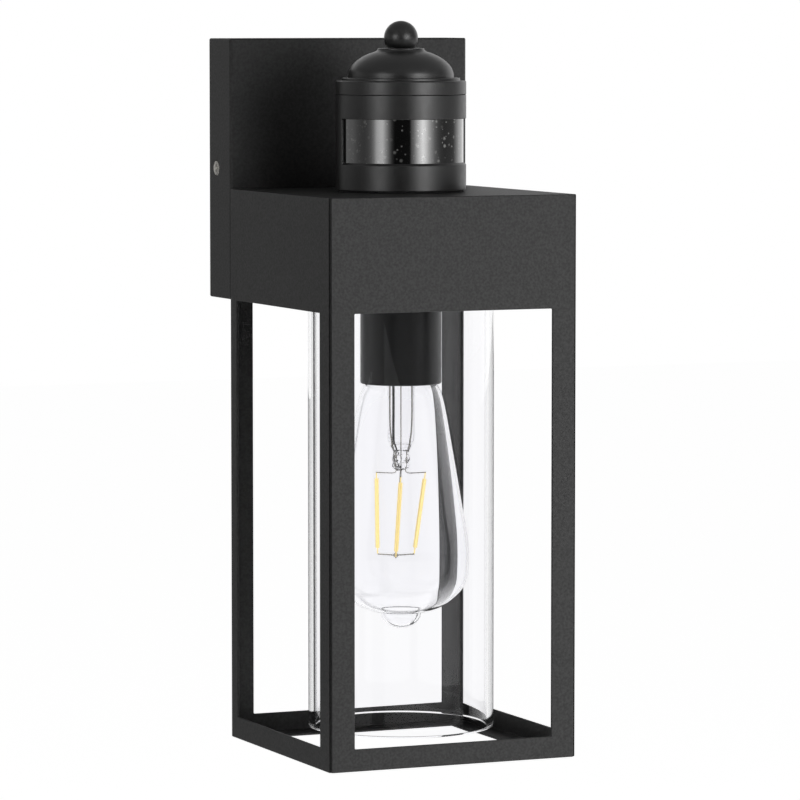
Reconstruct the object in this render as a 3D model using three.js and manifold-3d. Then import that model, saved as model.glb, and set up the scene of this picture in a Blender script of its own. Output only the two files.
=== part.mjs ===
// Outdoor wall lantern: a folded sheet body on a back pan, a motion sensor head on its roof,
// and a filament bulb inside a clear glass cylinder. Millimetres, Z up. The wall is the plane
// y = 0, the lantern stands out from it towards -Y, and the origin is the centre of the wall
// bracket's back face.
import * as THREE from "three";
import { mergeVertices } from "three/addons/utils/BufferGeometryUtils.js";
import Module from "manifold-3d";

const wasm = await Module();
wasm.setup();

// Fits that every piece shares
const fitGap = 0.1;
const runningGap = 0.25;
const overrun = 2;
const weldDistance = 1e-4;

// Folded sheet body: a header box, four angle posts and four bottom rails
const sheetThickness = 1.2;
const foldRadius = 0.8;
const bodyWidth = 120;
const bodyDepth = 119;
const headerHeight = 51;
const cageHeight = 203;
const postWidth = 12;
const rearPostWidth = 11;
const rearPostDepth = 8;
const railHeight = 10;
const railFlange = 12;

// Back pan and the foam seal on its rim
const panInset = 0.5;
const panHeight = 120;
const panDepth = 26.5;
const panEdgeRadius = 1;
const panCornerRadius = 1.6;
const foamThickness = 1.5;
const foamWidth = 3;

// Wall bracket: a strap with an ear at each end, and slots for the box screws
const bracketThickness = 1.5;
const bracketHeight = 24;
const bracketEarReach = 16;
const bracketEarRadius = 3;
const bracketClearance = 0.4;
const boxScrewSpacingNear = 70;
const boxScrewSpacingFar = 89;
const boxSlotWidth = 5;
const earthScrewOffset = 15;

// Screws and nuts
const sideScrewInset = 10;
const sideScrewHeadRadius = 3.4;
const sideScrewHeadHeight = 1.7;
const sideScrewRadius = 2;
const sideScrewLength = 10;
const bodyScrewInset = 22;
const bodyScrewDrop = 26;
const bodyScrewHeadRadius = 4.6;
const bodyScrewHeadHeight = 3;
const bodyScrewRadius = 2.5;
const bodyScrewLength = 9;
const bodyNutAcross = 8;
const bodyNutHeight = 4;
const earthScrewHeadRadius = 3.5;
const earthScrewHeadHeight = 2;
const earthScrewRadius = 1.9;
const earthScrewLength = 6;

// Rubber grommet that carries the leads from the pan into the header
const grommetDrop = 13;
const grommetBoreRadius = 4;
const grommetNeckRadius = 6;
const grommetFlangeRadius = 8;
const grommetFlangeThickness = 1.5;

// Crossbar and threaded tube that hang the socket
const crossbarDrop = 21;
const crossbarWidth = 24;
const crossbarThickness = 1.5;
const crossbarTabHeight = 12;
const tubeRadius = 5;
const tubeBoreRadius = 3.4;
const tubeEngagement = 12;
const tubeNutAcross = 14;
const tubeNutHeight = 4;
const tubeStandout = 1.5;

// Socket sleeve, a cup with a flange round its closed top
const sleeveRadius = 18.5;
const sleeveWall = 1.2;
const sleeveLength = 64.5;
const sleeveFlangeRadius = 26;
const sleeveFlangeThickness = 1.8;
const sleeveLip = 0.5;

// Lampholder inside the sleeve
const holderClearance = 0.5;
const holderBlockHeight = 31;
const holderRimRadius = 1;
const screwShellLength = 25;
const screwShellWall = 0.6;
const screwShellLip = 4;
const contactWidth = 6;
const contactThickness = 0.5;
const contactReach = 5;
const contactDrop = 2.4;

// Clear glass cylinder, its seals and the ring that clamps it
const glassRadius = 42.3;
const glassWall = 3;
const glassShoulderRadius = 7;
const glassRimRadius = 1.3;
const glassHoleClearance = 1.5;
const sealThickness = 1.5;
const ringHeight = 5.5;
const ringOuterRadius = 26;
const ringNotchRadius = 2.4;
const ringChamfer = 0.8;
const ringNotchCount = 12;

// Filament bulb with a screw base
const bulbRadius = 31.2;
const bulbLength = 141;
const bulbGlassWall = 0.9;
const nippleRadius = 9.2;
const nippleHeight = 7.2;
const baseRadius = 13.1;
const baseLength = 22;
const baseWall = 0.5;
const baseRoll = 1.5;
const insulatorHeight = 2.6;
const tipRadius = 4.6;
const tipHeight = 0.7;
const neckInsertion = 10;

// What the bulb's glass stem carries
const stemRadius = 6.1;
const stemWall = 1.1;
const stemLength = 24;
const stemFlareHeight = 9;
const stemPinchRadius = 4.3;
const stemPinchHeight = 5.6;
const leadRadius = 0.35;
const leadDrop = 12.1;
const leadCircleRadius = 3.4;
const rodRadius = 0.45;
const filamentRadius = 0.95;
const filamentLength = 30.3;
const filamentPinRadius = 0.3;
const filamentPinLength = 2.8;
const filamentTopRadius = 13;
const filamentFootRadius = 9.7;
const filamentCount = 3;
const filamentClockingDegrees = -113.6;
const hubBeadRadius = 1.3;

// Sensor head on the roof of the header
const sensorRadius = 29.6;
const sensorWall = 2.2;
const sensorSealThickness = 0.8;
const sensorSealWidth = 5;
const sensorShellHeight = 43.9;
const windowSill = 14;
const windowSillSlope = 1.6;
const windowHead = 33.1;
const windowHalfAngleDegrees = 88;
const lensRecess = 1.3;
const lensThickness = 1.3;
const lensMargin = 1;
const lensMarginDegrees = 5;
const lensGapDegrees = 1;
const sensorFloorThickness = 2.6;
const studRadius = 6;
const studBoreRadius = 4.2;
const studDrop = 7;
const sensorNutAcross = 17;
const sensorNutHeight = 4;

// Sensor cap and the ball on top of it
const capSkirtHeight = 6.2;
const capStepRadius = 26.7;
const capStepHeight = 1.3;
const capWall = 2;
const capSpigotDepth = 3.5;
const domeRadius = 23.9;
const domeFootHeight = 0.9;
const domeHeight = 12.5;
const collarRadius = 10.9;
const collarHeight = 1.3;
const ballRadius = 7.7;
const ballSink = 3.1;
const ballShankRadius = 2.5;
const ballShankLength = 6;

// Circuit board and what is soldered to it
const boardWidth = 42;
const boardHeight = 33;
const boardThickness = 1.6;
const boardOffset = 3;
const pirRadius = 4.6;
const pirHeight = 4.2;
const pirFlange = 0.5;
const photocellRadius = 2.5;
const photocellHeight = 2;
const photocellRise = 9.5;
const relayWidth = 19;
const relayDepth = 10;
const relayHeight = 15;
const relayOffset = 9;
const capacitorRadius = 5;
const capacitorHeight = 14;
const capacitorOffset = 10;
const componentRise = 5;

// Insulated leads inside the header
const wireRadius = 0.9;
const wirePitch = 2.3;
const wireTerminalRise = 5;
const wireTubeOffset = 1.4;
const wireBend = 7;
const wireTerminalDepth = 10;

// How finely round forms are cut into flats
const fineSegments = 30;
const mediumSegments = 24;
const coarseSegments = 12;
const cornerSegments = 2;
const ballSegments = 5;
const blownSegments = 10;
const wireSides = 6;
const hexagonSides = 6;
const wireSteps = 10;

// Places that follow from the sizes above
const panWidth = bodyWidth - 2 * panInset;
const bodyScrewSpacing = bodyWidth - 2 * bodyScrewInset;
const panFront = foamThickness + panDepth;
const bodyRear = panFront + fitGap;
const axisY = -bodyRear - bodyDepth / 2;
const headerBottom = -panHeight / 2;
const headerTop = headerBottom + headerHeight;
const cageBottom = headerBottom - cageHeight;
const railTop = cageBottom + railHeight;
const crossbarTop = headerTop - crossbarDrop;
const sleeveTop = crossbarTop - crossbarThickness - fitGap;
const sleeveCeiling = sleeveTop - sleeveFlangeThickness;
const sleeveInnerRadius = sleeveRadius - sleeveWall;
const holderTop = sleeveCeiling - fitGap;
const bulbBaseHeight = tipHeight + insulatorHeight + baseLength;
const holderHeight = holderBlockHeight + contactDrop + runningGap + bulbBaseHeight;
const holderFloor = holderTop - holderBlockHeight;
const bulbTop = holderFloor - contactDrop - runningGap;
const upperSealTop = sleeveCeiling - fitGap;
const glassTop = upperSealTop - sealThickness - fitGap;
const glassHoleRadius = sleeveRadius + glassHoleClearance;
const lowerSealTop = glassTop - glassWall - fitGap;
const ringTop = lowerSealTop - sealThickness - fitGap;
const screwShellInnerRadius = baseRadius + 2 * runningGap;
const holderBoreRadius = screwShellInnerRadius + screwShellWall + fitGap;
const sensorInnerRadius = sensorRadius - sensorWall;
const sensorShellBottom = sensorSealThickness + 2 * fitGap;
const sensorFloorTop = sensorShellBottom + sensorFloorThickness;
const lensRadius = sensorRadius - lensRecess;
const boardBottom = sensorFloorTop + fitGap;

// Finishes

function finish(color, roughness, metalness, more = {}) {
  return new THREE.MeshStandardMaterial({ color, roughness, metalness, flatShading: true, ...more });
}

const powderCoat = () => finish("#3b3b3b", 0.62, 0.15);
const satinBlack = () => finish("#2b2b2b", 0.42, 0.25);
const mouldedBlack = () => finish("#333333", 0.55, 0);
const smokedLens = () => finish("#161616", 0.12, 0);
const clearGlass = () => finish("#f4f7f7", 0.04, 0, { transparent: true, opacity: 0.25 });
const zincSteel = () => finish("#b9bcc0", 0.35, 0.9);
const brass = () => finish("#c9a45c", 0.35, 0.9);
const nickel = () => finish("#c8c6c0", 0.3, 0.9);
const porcelain = () => finish("#e9e6dd", 0.3, 0);
const blackRubber = () => finish("#1c1c1c", 0.85, 0);
const paleSilicone = () => finish("#d8d8d4", 0.5, 0);
const blackFoam = () => finish("#222222", 0.95, 0);
const boardGreen = () => finish("#1f5a34", 0.5, 0);
const blackVitrite = () => finish("#141416", 0.2, 0);
const phosphor = () => finish("#f2c14a", 0.6, 0);
const insulation = (color) => finish(color, 0.45, 0);

// Closed geometries, and how they are joined and cut

// Reads a closed geometry as a solid. Seams are welded, and what is inside out is turned round.
function solidFrom(geometry) {
  const loose = geometry.index ? geometry.toNonIndexed() : geometry;
  const bare = new THREE.BufferGeometry();
  bare.setAttribute("position", loose.getAttribute("position"));
  const welded = geometry.userData.closed ? geometry : mergeVertices(bare, weldDistance);
  const corners = Array.from(welded.index.array);
  const kept = [];
  for (let i = 0; i < corners.length; i += 3) {
    const [a, b, c] = corners.slice(i, i + 3);
    if (a !== b && b !== c && c !== a) kept.push(a, b, c);
  }
  const build = (order) => {
    const vertProperties = welded.getAttribute("position").array;
    const mesh = new wasm.Mesh({ numProp: 3, vertProperties, triVerts: new Uint32Array(order) });
    return new wasm.Manifold(mesh);
  };
  const made = build(kept);
  return made.volume() < 0 ? build(kept.reverse()) : made;
}

function geometryFrom(solid) {
  const { numProp, vertProperties, triVerts } = solid.getMesh();
  const geometry = new THREE.BufferGeometry();
  geometry.setAttribute("position", new THREE.BufferAttribute(vertProperties, numProp));
  geometry.setIndex(new THREE.BufferAttribute(triVerts, 1));
  geometry.userData.closed = true;
  return geometry;
}

function combine(operation, first, others) {
  const start = solidFrom(first);
  return geometryFrom(others.reduce((solid, other) => solid[operation](solidFrom(other)), start));
}

const join = (first, ...others) => combine("add", first, others);
const cut = (first, ...others) => combine("subtract", first, others);
const common = (first, ...others) => combine("intersect", first, others);

// A named mesh of a closed geometry, with its own material.
function part(name, geometry, material) {
  const clean = geometryFrom(solidFrom(geometry));
  clean.computeVertexNormals();
  const mesh = new THREE.Mesh(clean, material);
  mesh.name = name;
  return mesh;
}

// Outlines

function circle(radius, sides) {
  const corners = Array.from({ length: sides }, (_, i) => {
    const angle = (i / sides) * 2 * Math.PI;
    return new THREE.Vector2(radius * Math.cos(angle), radius * Math.sin(angle));
  });
  return new THREE.Shape(corners);
}

// A rectangle with round corners, centred on the origin.
function roundedRectangle(width, height, radius) {
  const [x, y] = [width / 2 - radius, height / 2 - radius];
  const shape = new THREE.Shape();
  shape.absarc(x, y, radius, 0, Math.PI / 2, false);
  shape.absarc(-x, y, radius, Math.PI / 2, Math.PI, false);
  shape.absarc(-x, -y, radius, Math.PI, 1.5 * Math.PI, false);
  shape.absarc(x, -y, radius, 1.5 * Math.PI, 2 * Math.PI, false);
  shape.closePath();
  return shape;
}

// The corner angle of a post, with its outer corner at the origin and its legs along X and Y.
function angleSection(legX, legY, thickness) {
  const shape = new THREE.Shape();
  shape.moveTo(legX, 0);
  shape.lineTo(legX, thickness);
  shape.lineTo(thickness, thickness);
  shape.lineTo(thickness, legY);
  shape.lineTo(0, legY);
  shape.absarc(foldRadius, foldRadius, foldRadius, Math.PI, 1.5 * Math.PI, false);
  shape.closePath();
  return shape;
}

// A pie slice of a circle, centred on the front, -Y.
function frontSlice(radius, halfAngleDegrees) {
  const half = THREE.MathUtils.degToRad(halfAngleDegrees);
  const front = -Math.PI / 2;
  const shape = new THREE.Shape();
  shape.moveTo(0, 0);
  shape.absarc(0, 0, radius, front - half, front + half, false);
  shape.closePath();
  return shape;
}

// The points of a path of lines, curves and arcs, without repeats.
function pointsOf(path, divisions = cornerSegments) {
  return path.getPoints(divisions).filter((point, i, all) => i === 0 || !point.equals(all[i - 1]));
}

// An outline's points moved sideways by a distance, to the left of its direction.
function offsetPoints(points, distance) {
  return points.map((point, i) => {
    const before = points[Math.max(i - 1, 0)];
    const after = points[Math.min(i + 1, points.length - 1)];
    const along = after.clone().sub(before).normalize();
    return new THREE.Vector2(point.x - along.y * distance, point.y + along.x * distance);
  });
}

// Basic closed geometries

function extrude(shape, depth, curveSegments = cornerSegments) {
  return new THREE.ExtrudeGeometry(shape, { depth, bevelEnabled: false, curveSegments });
}

// A block between two opposite corners.
function block([x0, y0, z0], [x1, y1, z1]) {
  const geometry = new THREE.BoxGeometry(x1 - x0, y1 - y0, z1 - z0);
  return geometry.translate((x0 + x1) / 2, (y0 + y1) / 2, (z0 + z1) / 2);
}

// Spins a closed outline of radius and height round the Z axis.
function revolve(outline, segments = mediumSegments) {
  const geometry = new THREE.LatheGeometry([...outline, outline[0]], segments);
  return geometry.rotateX(Math.PI / 2);
}

// A ring round the Z axis, or a full cylinder where the inner radius is zero.
function ring(inner, outer, bottom, top, segments = mediumSegments) {
  const corners = [
    [inner, bottom],
    [outer, bottom],
    [outer, top],
    [inner, top],
  ];
  return revolve(corners.map(([radius, height]) => new THREE.Vector2(radius, height)), segments);
}

const cylinder = (radius, bottom, top, segments = coarseSegments) => ring(0, radius, bottom, top, segments);

// A tube that follows a smooth curve through the given points.
function tubeAlong(points, radius, steps) {
  const extrudePath = new THREE.CatmullRomCurve3(points, false, "centripetal");
  return new THREE.ExtrudeGeometry(circle(radius, wireSides), { steps, extrudePath, bevelEnabled: false });
}

// A strap folded into a channel along X: its web lies on z = 0 and its ends turn up to `reach`.
function foldedStrap(width, reach, breadth, thickness) {
  const band = roundedRectangle(width, 2 * reach, foldRadius + thickness);
  band.holes.push(roundedRectangle(width - 2 * thickness, 2 * (reach - thickness), foldRadius));
  const lowerHalf = block([-width, -reach - overrun, -overrun], [width, 0, breadth + overrun]);
  const channel = common(extrude(band, breadth), lowerHalf);
  return channel.rotateX(Math.PI / 2).translate(0, breadth / 2, reach);
}

// A hexagon nut with chamfered ends, standing on z = 0.
function nut(acrossFlats, height, boreRadius) {
  const cornerRadius = acrossFlats / Math.sqrt(3);
  const chamfer = cornerRadius - acrossFlats / 2;
  const rim = new THREE.Path();
  rim.moveTo(0, 0);
  rim.lineTo(acrossFlats / 2, 0);
  rim.lineTo(cornerRadius, chamfer / 2);
  rim.lineTo(cornerRadius, height - chamfer / 2);
  rim.lineTo(acrossFlats / 2, height);
  rim.lineTo(0, height);
  const hexagon = extrude(circle(cornerRadius, hexagonSides), height);
  const bore = cylinder(boreRadius, -overrun, height + overrun);
  return cut(common(hexagon, revolve(pointsOf(rim), coarseSegments)), bore);
}

// The cutters of a cross recess in a screw's head.
function crossSlots(headRadius, floor, top) {
  const [reachShare, widthShare] = [0.62, 0.15];
  const reach = headRadius * reachShare;
  const half = headRadius * widthShare;
  return join(
    block([-reach, -half, floor], [reach, half, top + overrun]),
    block([-half, -reach, floor], [half, reach, top + overrun]),
  );
}

// A pan-head screw with a cross recess: the head stands on z = 0 and the shank points down.
function crossHeadScrew(headRadius, headHeight, shankRadius, shankLength) {
  const [sideShare, depthShare] = [0.4, 0.55];
  const side = new THREE.Path();
  side.moveTo(0, -shankLength);
  side.lineTo(shankRadius / 2, -shankLength);
  side.lineTo(shankRadius, -shankLength + shankRadius / 2);
  side.lineTo(shankRadius, 0);
  side.lineTo(headRadius, 0);
  side.lineTo(headRadius, headHeight * sideShare);
  side.quadraticCurveTo(headRadius, headHeight, 0, headHeight);
  const slots = crossSlots(headRadius, headHeight * (1 - depthShare), headHeight);
  return cut(revolve(pointsOf(side), coarseSegments), slots);
}

// A countersunk screw with a cross recess: its flat face lies on z = 0 and its shank points down.
function flatHeadScrew(headRadius, headHeight, shankRadius, length) {
  const [rimShare, depthShare] = [0.15, 0.6];
  const side = new THREE.Path();
  side.moveTo(0, -length);
  side.lineTo(shankRadius / 2, -length);
  side.lineTo(shankRadius, -length + shankRadius / 2);
  side.lineTo(shankRadius, -headHeight);
  side.lineTo(headRadius, -headHeight * rimShare);
  side.lineTo(headRadius, 0);
  side.lineTo(0, 0);
  const slots = crossSlots(headRadius, -headHeight * depthShare, 0);
  return cut(revolve(pointsOf(side), coarseSegments), slots);
}

// Placing

function at(object, x, y, z) {
  object.position.set(x, y, z);
  return object;
}

function group(...children) {
  const made = new THREE.Group();
  made.add(...children.flat());
  return made;
}

// The wall side, modelled lying on its back: X right, Y up the wall, Z away from the wall

function wallBracket() {
  const halfWidth = panWidth / 2 - foamWidth - bracketClearance;
  const slotLength = (boxScrewSpacingFar - boxScrewSpacingNear) / 2 + boxSlotWidth;
  const slotCentre = (boxScrewSpacingFar + boxScrewSpacingNear) / 4;
  const through = bracketThickness + 2 * overrun;
  const strap = foldedStrap(2 * halfWidth, bracketEarReach, bracketHeight, bracketThickness);
  const side = roundedRectangle(2 * bracketEarReach, bracketHeight, bracketEarRadius);
  const trim = extrude(side, 2 * halfWidth).rotateY(Math.PI / 2).translate(-halfWidth, 0, 0);
  const slots = [-1, 1].map((sign) =>
    extrude(roundedRectangle(slotLength, boxSlotWidth, boxSlotWidth / 2 - fitGap), through)
      .translate(sign * slotCentre, 0, -overrun),
  );
  const tapped = cylinder(sideScrewRadius + fitGap, -panWidth, panWidth)
    .rotateY(Math.PI / 2)
    .translate(0, 0, sideScrewInset);
  const earthHole = cylinder(earthScrewRadius + fitGap, -overrun, through)
    .translate(-earthScrewOffset, 0, 0);
  return part("wall_bracket", cut(common(strap, trim), ...slots, tapped, earthHole), zincSteel());
}

function earthScrew() {
  const screw = crossHeadScrew(earthScrewHeadRadius, earthScrewHeadHeight, earthScrewRadius, bracketThickness);
  return at(part("earth_screw", screw, brass()), -earthScrewOffset, 0, bracketThickness + fitGap);
}

function panSeal() {
  const rim = roundedRectangle(panWidth - 2 * foldRadius, panHeight - 2 * foldRadius, panCornerRadius);
  const inner = roundedRectangle(panWidth - 2 * foamWidth, panHeight - 2 * foamWidth, panCornerRadius);
  rim.holes.push(inner);
  return part("pan_foam_seal", extrude(rim, foamThickness), blackFoam());
}

// Where the pan is screwed to the body, and where the leads pass, on the pan and on the header.
function bodyScrewPlaces() {
  return [-1, 1].map((sign) => [(sign * bodyScrewSpacing) / 2, headerTop - bodyScrewDrop]);
}

const grommetHeight = headerTop - grommetDrop;

// The holes of the shared wall, as cutters along Z.
function sharedHoles(bottom, top) {
  const screwHoles = bodyScrewPlaces().map(([x, y]) =>
    cylinder(bodyScrewRadius + runningGap, bottom, top).translate(x, y, 0),
  );
  const leadHole = cylinder(grommetNeckRadius + fitGap, bottom, top).translate(0, grommetHeight, 0);
  return [...screwHoles, leadHole];
}

// The cutter of the side screws' countersunk holes: a spindle across the pan.
function sideScrewHoles() {
  const face = panWidth / 2;
  const shank = sideScrewRadius + runningGap;
  const head = sideScrewHeadRadius + runningGap;
  const side = new THREE.Path();
  side.moveTo(0, -face - overrun);
  side.lineTo(head, -face - overrun);
  side.lineTo(head, -face + runningGap);
  side.lineTo(shank, -face + sideScrewHeadHeight);
  side.lineTo(shank, face - sideScrewHeadHeight);
  side.lineTo(head, face - runningGap);
  side.lineTo(head, face + overrun);
  side.lineTo(0, face + overrun);
  return revolve(pointsOf(side), coarseSegments).rotateY(Math.PI / 2).translate(0, 0, sideScrewInset);
}

// A tray folded from one sheet, open to the wall.
function backPan() {
  const width = panWidth - 2 * panEdgeRadius;
  const height = panHeight - 2 * panEdgeRadius;
  const tray = new THREE.ExtrudeGeometry(
    roundedRectangle(width, height, panCornerRadius - panEdgeRadius),
    {
      depth: panDepth,
      bevelThickness: panEdgeRadius,
      bevelSize: panEdgeRadius,
      bevelSegments: cornerSegments,
      curveSegments: cornerSegments,
    },
  );
  tray.translate(0, 0, panFront - panDepth - panEdgeRadius);
  const rimHeight = foamThickness + fitGap;
  const behindRim = block([-panWidth, -panHeight, -panDepth], [panWidth, panHeight, rimHeight]);
  const innerShape = roundedRectangle(
    panWidth - 2 * sheetThickness,
    panHeight - 2 * sheetThickness,
    panCornerRadius - fitGap,
  );
  const hollow = extrude(innerShape, panDepth + overrun - sheetThickness)
    .translate(0, 0, foamThickness - overrun);
  const sideHoles = sideScrewHoles();
  const holes = sharedHoles(panFront - sheetThickness - overrun, panFront + overrun);
  return part("back_pan", cut(tray, behindRim, hollow, sideHoles, ...holes), powderCoat());
}

function sideScrew(name, sign) {
  const screw = flatHeadScrew(sideScrewHeadRadius, sideScrewHeadHeight, sideScrewRadius, sideScrewLength);
  const mesh = at(part(name, screw, nickel()), (sign * panWidth) / 2, 0, sideScrewInset);
  mesh.rotation.y = (sign * Math.PI) / 2;
  return mesh;
}

// The screws that hold the body on the pan point away from the wall, with their nuts in the header.
function bodyFasteners() {
  const names = ["left", "right"];
  return bodyScrewPlaces().flatMap(([x, y], i) => {
    const shape = crossHeadScrew(bodyScrewHeadRadius, bodyScrewHeadHeight, bodyScrewRadius, bodyScrewLength);
    const screw = part(`body_screw_${names[i]}`, shape, zincSteel());
    screw.rotation.x = Math.PI;
    const hexagon = nut(bodyNutAcross, bodyNutHeight, bodyScrewRadius + runningGap);
    const threaded = part(`body_nut_${names[i]}`, hexagon, zincSteel());
    return [
      at(screw, x, y, panFront - sheetThickness - fitGap),
      at(threaded, x, y, bodyRear + sheetThickness + fitGap),
    ];
  });
}

const grommetInnerFace = panFront - sheetThickness - fitGap - grommetFlangeThickness;

function leadGrommet() {
  const neckBottom = grommetInnerFace + grommetFlangeThickness;
  const neckTop = bodyRear + sheetThickness + fitGap;
  const top = neckTop + grommetFlangeThickness;
  const side = new THREE.Path();
  side.moveTo(grommetBoreRadius, grommetInnerFace);
  side.lineTo(grommetFlangeRadius, grommetInnerFace);
  side.lineTo(grommetFlangeRadius, neckBottom);
  side.lineTo(grommetNeckRadius, neckBottom);
  side.lineTo(grommetNeckRadius, neckTop);
  side.lineTo(grommetFlangeRadius, neckTop);
  side.lineTo(grommetFlangeRadius - grommetFlangeThickness / 2, top);
  side.lineTo(grommetBoreRadius, top);
  const mesh = part("lead_grommet", revolve(pointsOf(side), coarseSegments), blackRubber());
  return at(mesh, 0, grommetHeight, 0);
}

// The body, modelled about the lantern's upright axis

function headerShell() {
  const outer = extrude(roundedRectangle(bodyWidth, bodyDepth, foldRadius), headerHeight);
  const inner = roundedRectangle(
    bodyWidth - 2 * sheetThickness,
    bodyDepth - 2 * sheetThickness,
    foldRadius / 2,
  );
  const hollow = extrude(inner, headerHeight - sheetThickness + overrun).translate(0, 0, -overrun);
  const box = cut(outer, hollow).translate(0, 0, headerBottom);
  const studHole = cylinder(studRadius + runningGap, headerTop - sheetThickness - overrun, headerTop + overrun);
  const wallHoles = sharedHoles(-overrun, sheetThickness + overrun).map((hole) =>
    hole.rotateX(Math.PI / 2).translate(0, bodyDepth / 2, 0),
  );
  return part("header_shell", cut(box, studHole, ...wallHoles), powderCoat());
}

function cornerPosts() {
  const bottom = railTop + fitGap;
  const length = headerBottom - fitGap - bottom;
  const corners = [
    ["front_left", -1, -1, postWidth, postWidth],
    ["front_right", 1, -1, postWidth, postWidth],
    ["rear_right", 1, 1, rearPostWidth, rearPostDepth],
    ["rear_left", -1, 1, rearPostDepth, rearPostWidth],
  ];
  return corners.map(([corner, x, y, legX, legY], quarter) => {
    const angle = extrude(angleSection(legX, legY, sheetThickness), length);
    const post = part(`post_${corner}`, angle, powderCoat());
    post.rotation.z = (quarter * Math.PI) / 2;
    return at(post, (x * bodyWidth) / 2, (y * bodyDepth) / 2, bottom);
  });
}

// Four rails, each an upright web and an inward flange, mitred where they meet.
function bottomRails() {
  const outline = () => roundedRectangle(bodyWidth, bodyDepth, foldRadius);
  const opening = (inset) => roundedRectangle(bodyWidth - 2 * inset, bodyDepth - 2 * inset, foldRadius / 2);
  const web = outline();
  web.holes.push(opening(sheetThickness));
  const flange = outline();
  flange.holes.push(opening(railFlange));
  const frame = join(extrude(web, railHeight), extrude(flange, sheetThickness)).translate(0, 0, cageBottom);
  const [x, y] = [bodyWidth / 2 + overrun, bodyDepth / 2 + overrun];
  const inset = railFlange + 2 * overrun;
  const corner = (signX, signY) => [
    new THREE.Vector2(signX * x, signY * y),
    new THREE.Vector2(signX * (x - inset), signY * (y - inset)),
  ];
  const sides = {
    front: [corner(-1, -1), corner(1, -1)],
    right: [corner(1, -1), corner(1, 1)],
    rear: [corner(1, 1), corner(-1, 1)],
    left: [corner(-1, 1), corner(-1, -1)],
  };
  return Object.entries(sides).map(([side, [start, end]]) => {
    const mitre = new THREE.Shape([start[0], end[0], end[1], start[1]]);
    const keep = extrude(mitre, railHeight + 2 * overrun).translate(0, 0, cageBottom - overrun);
    return part(`bottom_rail_${side}`, common(frame, keep), powderCoat());
  });
}

// The strap across the header that the socket hangs from, welded to both side walls.
function socketCrossbar() {
  const span = bodyWidth - 2 * sheetThickness - 2 * fitGap;
  const strap = foldedStrap(span, crossbarTabHeight, crossbarWidth, crossbarThickness);
  const hole = cylinder(tubeRadius + runningGap, -overrun, crossbarThickness + overrun);
  const mesh = part("socket_crossbar", cut(strap, hole), zincSteel());
  return at(mesh, 0, 0, crossbarTop - crossbarThickness);
}

// The socket, on the lantern's axis

function threadedTube() {
  const top = crossbarTop + fitGap + tubeNutHeight + tubeStandout;
  const bottom = holderTop - tubeEngagement + fitGap;
  return part("threaded_tube", ring(tubeBoreRadius, tubeRadius, bottom, top, coarseSegments), zincSteel());
}

function tubeNut() {
  const hexagon = nut(tubeNutAcross, tubeNutHeight, tubeRadius + runningGap);
  return at(part("tube_nut", hexagon, zincSteel()), 0, 0, crossbarTop + fitGap);
}

function socketSleeve() {
  const bottom = sleeveTop - sleeveLength;
  const lip = sleeveLip;
  const side = new THREE.Path();
  side.moveTo(tubeRadius + runningGap, sleeveTop);
  side.lineTo(tubeRadius + runningGap, sleeveCeiling);
  side.lineTo(sleeveInnerRadius, sleeveCeiling);
  side.lineTo(sleeveInnerRadius, bottom);
  side.lineTo(sleeveRadius - lip, bottom);
  side.lineTo(sleeveRadius, bottom + lip);
  side.lineTo(sleeveRadius, sleeveCeiling);
  side.lineTo(sleeveFlangeRadius, sleeveCeiling);
  side.lineTo(sleeveFlangeRadius, sleeveTop);
  return part("socket_sleeve", revolve(pointsOf(side), fineSegments), satinBlack());
}

// A porcelain block with a deep bore for the screw shell and a threaded hole for the tube.
function lampholder() {
  const radius = sleeveInnerRadius - holderClearance;
  const bottom = holderTop - holderHeight;
  const wireHoleRadius = tubeBoreRadius - fitGap;
  const threadBottom = holderTop - tubeEngagement;
  const rim = holderRimRadius;
  const side = new THREE.Path();
  side.moveTo(wireHoleRadius, holderFloor);
  side.lineTo(holderBoreRadius, holderFloor);
  side.lineTo(holderBoreRadius, bottom);
  side.lineTo(radius - rim, bottom);
  side.absarc(radius - rim, bottom + rim, rim, 1.5 * Math.PI, 2 * Math.PI, false);
  side.lineTo(radius, holderTop);
  side.lineTo(tubeRadius + fitGap, holderTop);
  side.lineTo(tubeRadius + fitGap, threadBottom);
  side.lineTo(wireHoleRadius, threadBottom);
  return part("lampholder", revolve(pointsOf(side)), porcelain());
}

function screwShell() {
  const top = holderFloor - fitGap;
  const bottom = top - screwShellLength;
  const outer = screwShellInnerRadius + screwShellWall;
  const side = new THREE.Path();
  side.moveTo(outer - screwShellLip, top - screwShellWall);
  side.lineTo(screwShellInnerRadius, top - screwShellWall);
  side.lineTo(screwShellInnerRadius, bottom);
  side.lineTo(outer, bottom);
  side.lineTo(outer, top);
  side.lineTo(outer - screwShellLip, top);
  return part("screw_shell", revolve(pointsOf(side)), brass());
}

// A leaf spring that lies on the lampholder's floor and slants down to the bulb's tip.
function centreContact() {
  const t = contactThickness;
  const top = -fitGap;
  const leaf = new THREE.Shape();
  leaf.moveTo(-contactReach, top);
  leaf.lineTo(-contactReach, top - t);
  leaf.lineTo(-contactReach / 2, top - t);
  leaf.lineTo(0, -contactDrop);
  leaf.lineTo(contactReach / 2, -contactDrop);
  leaf.lineTo(contactReach / 2, -contactDrop + t);
  leaf.lineTo(t / 2, -contactDrop + t);
  leaf.lineTo(-contactReach / 2 + t / 2, top);
  leaf.closePath();
  const spring = extrude(leaf, contactWidth).rotateX(Math.PI / 2).translate(0, contactWidth / 2, 0);
  return at(part("centre_contact", spring, brass()), 0, 0, holderFloor);
}

// The glass cylinder, hung on the sleeve's flange

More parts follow.
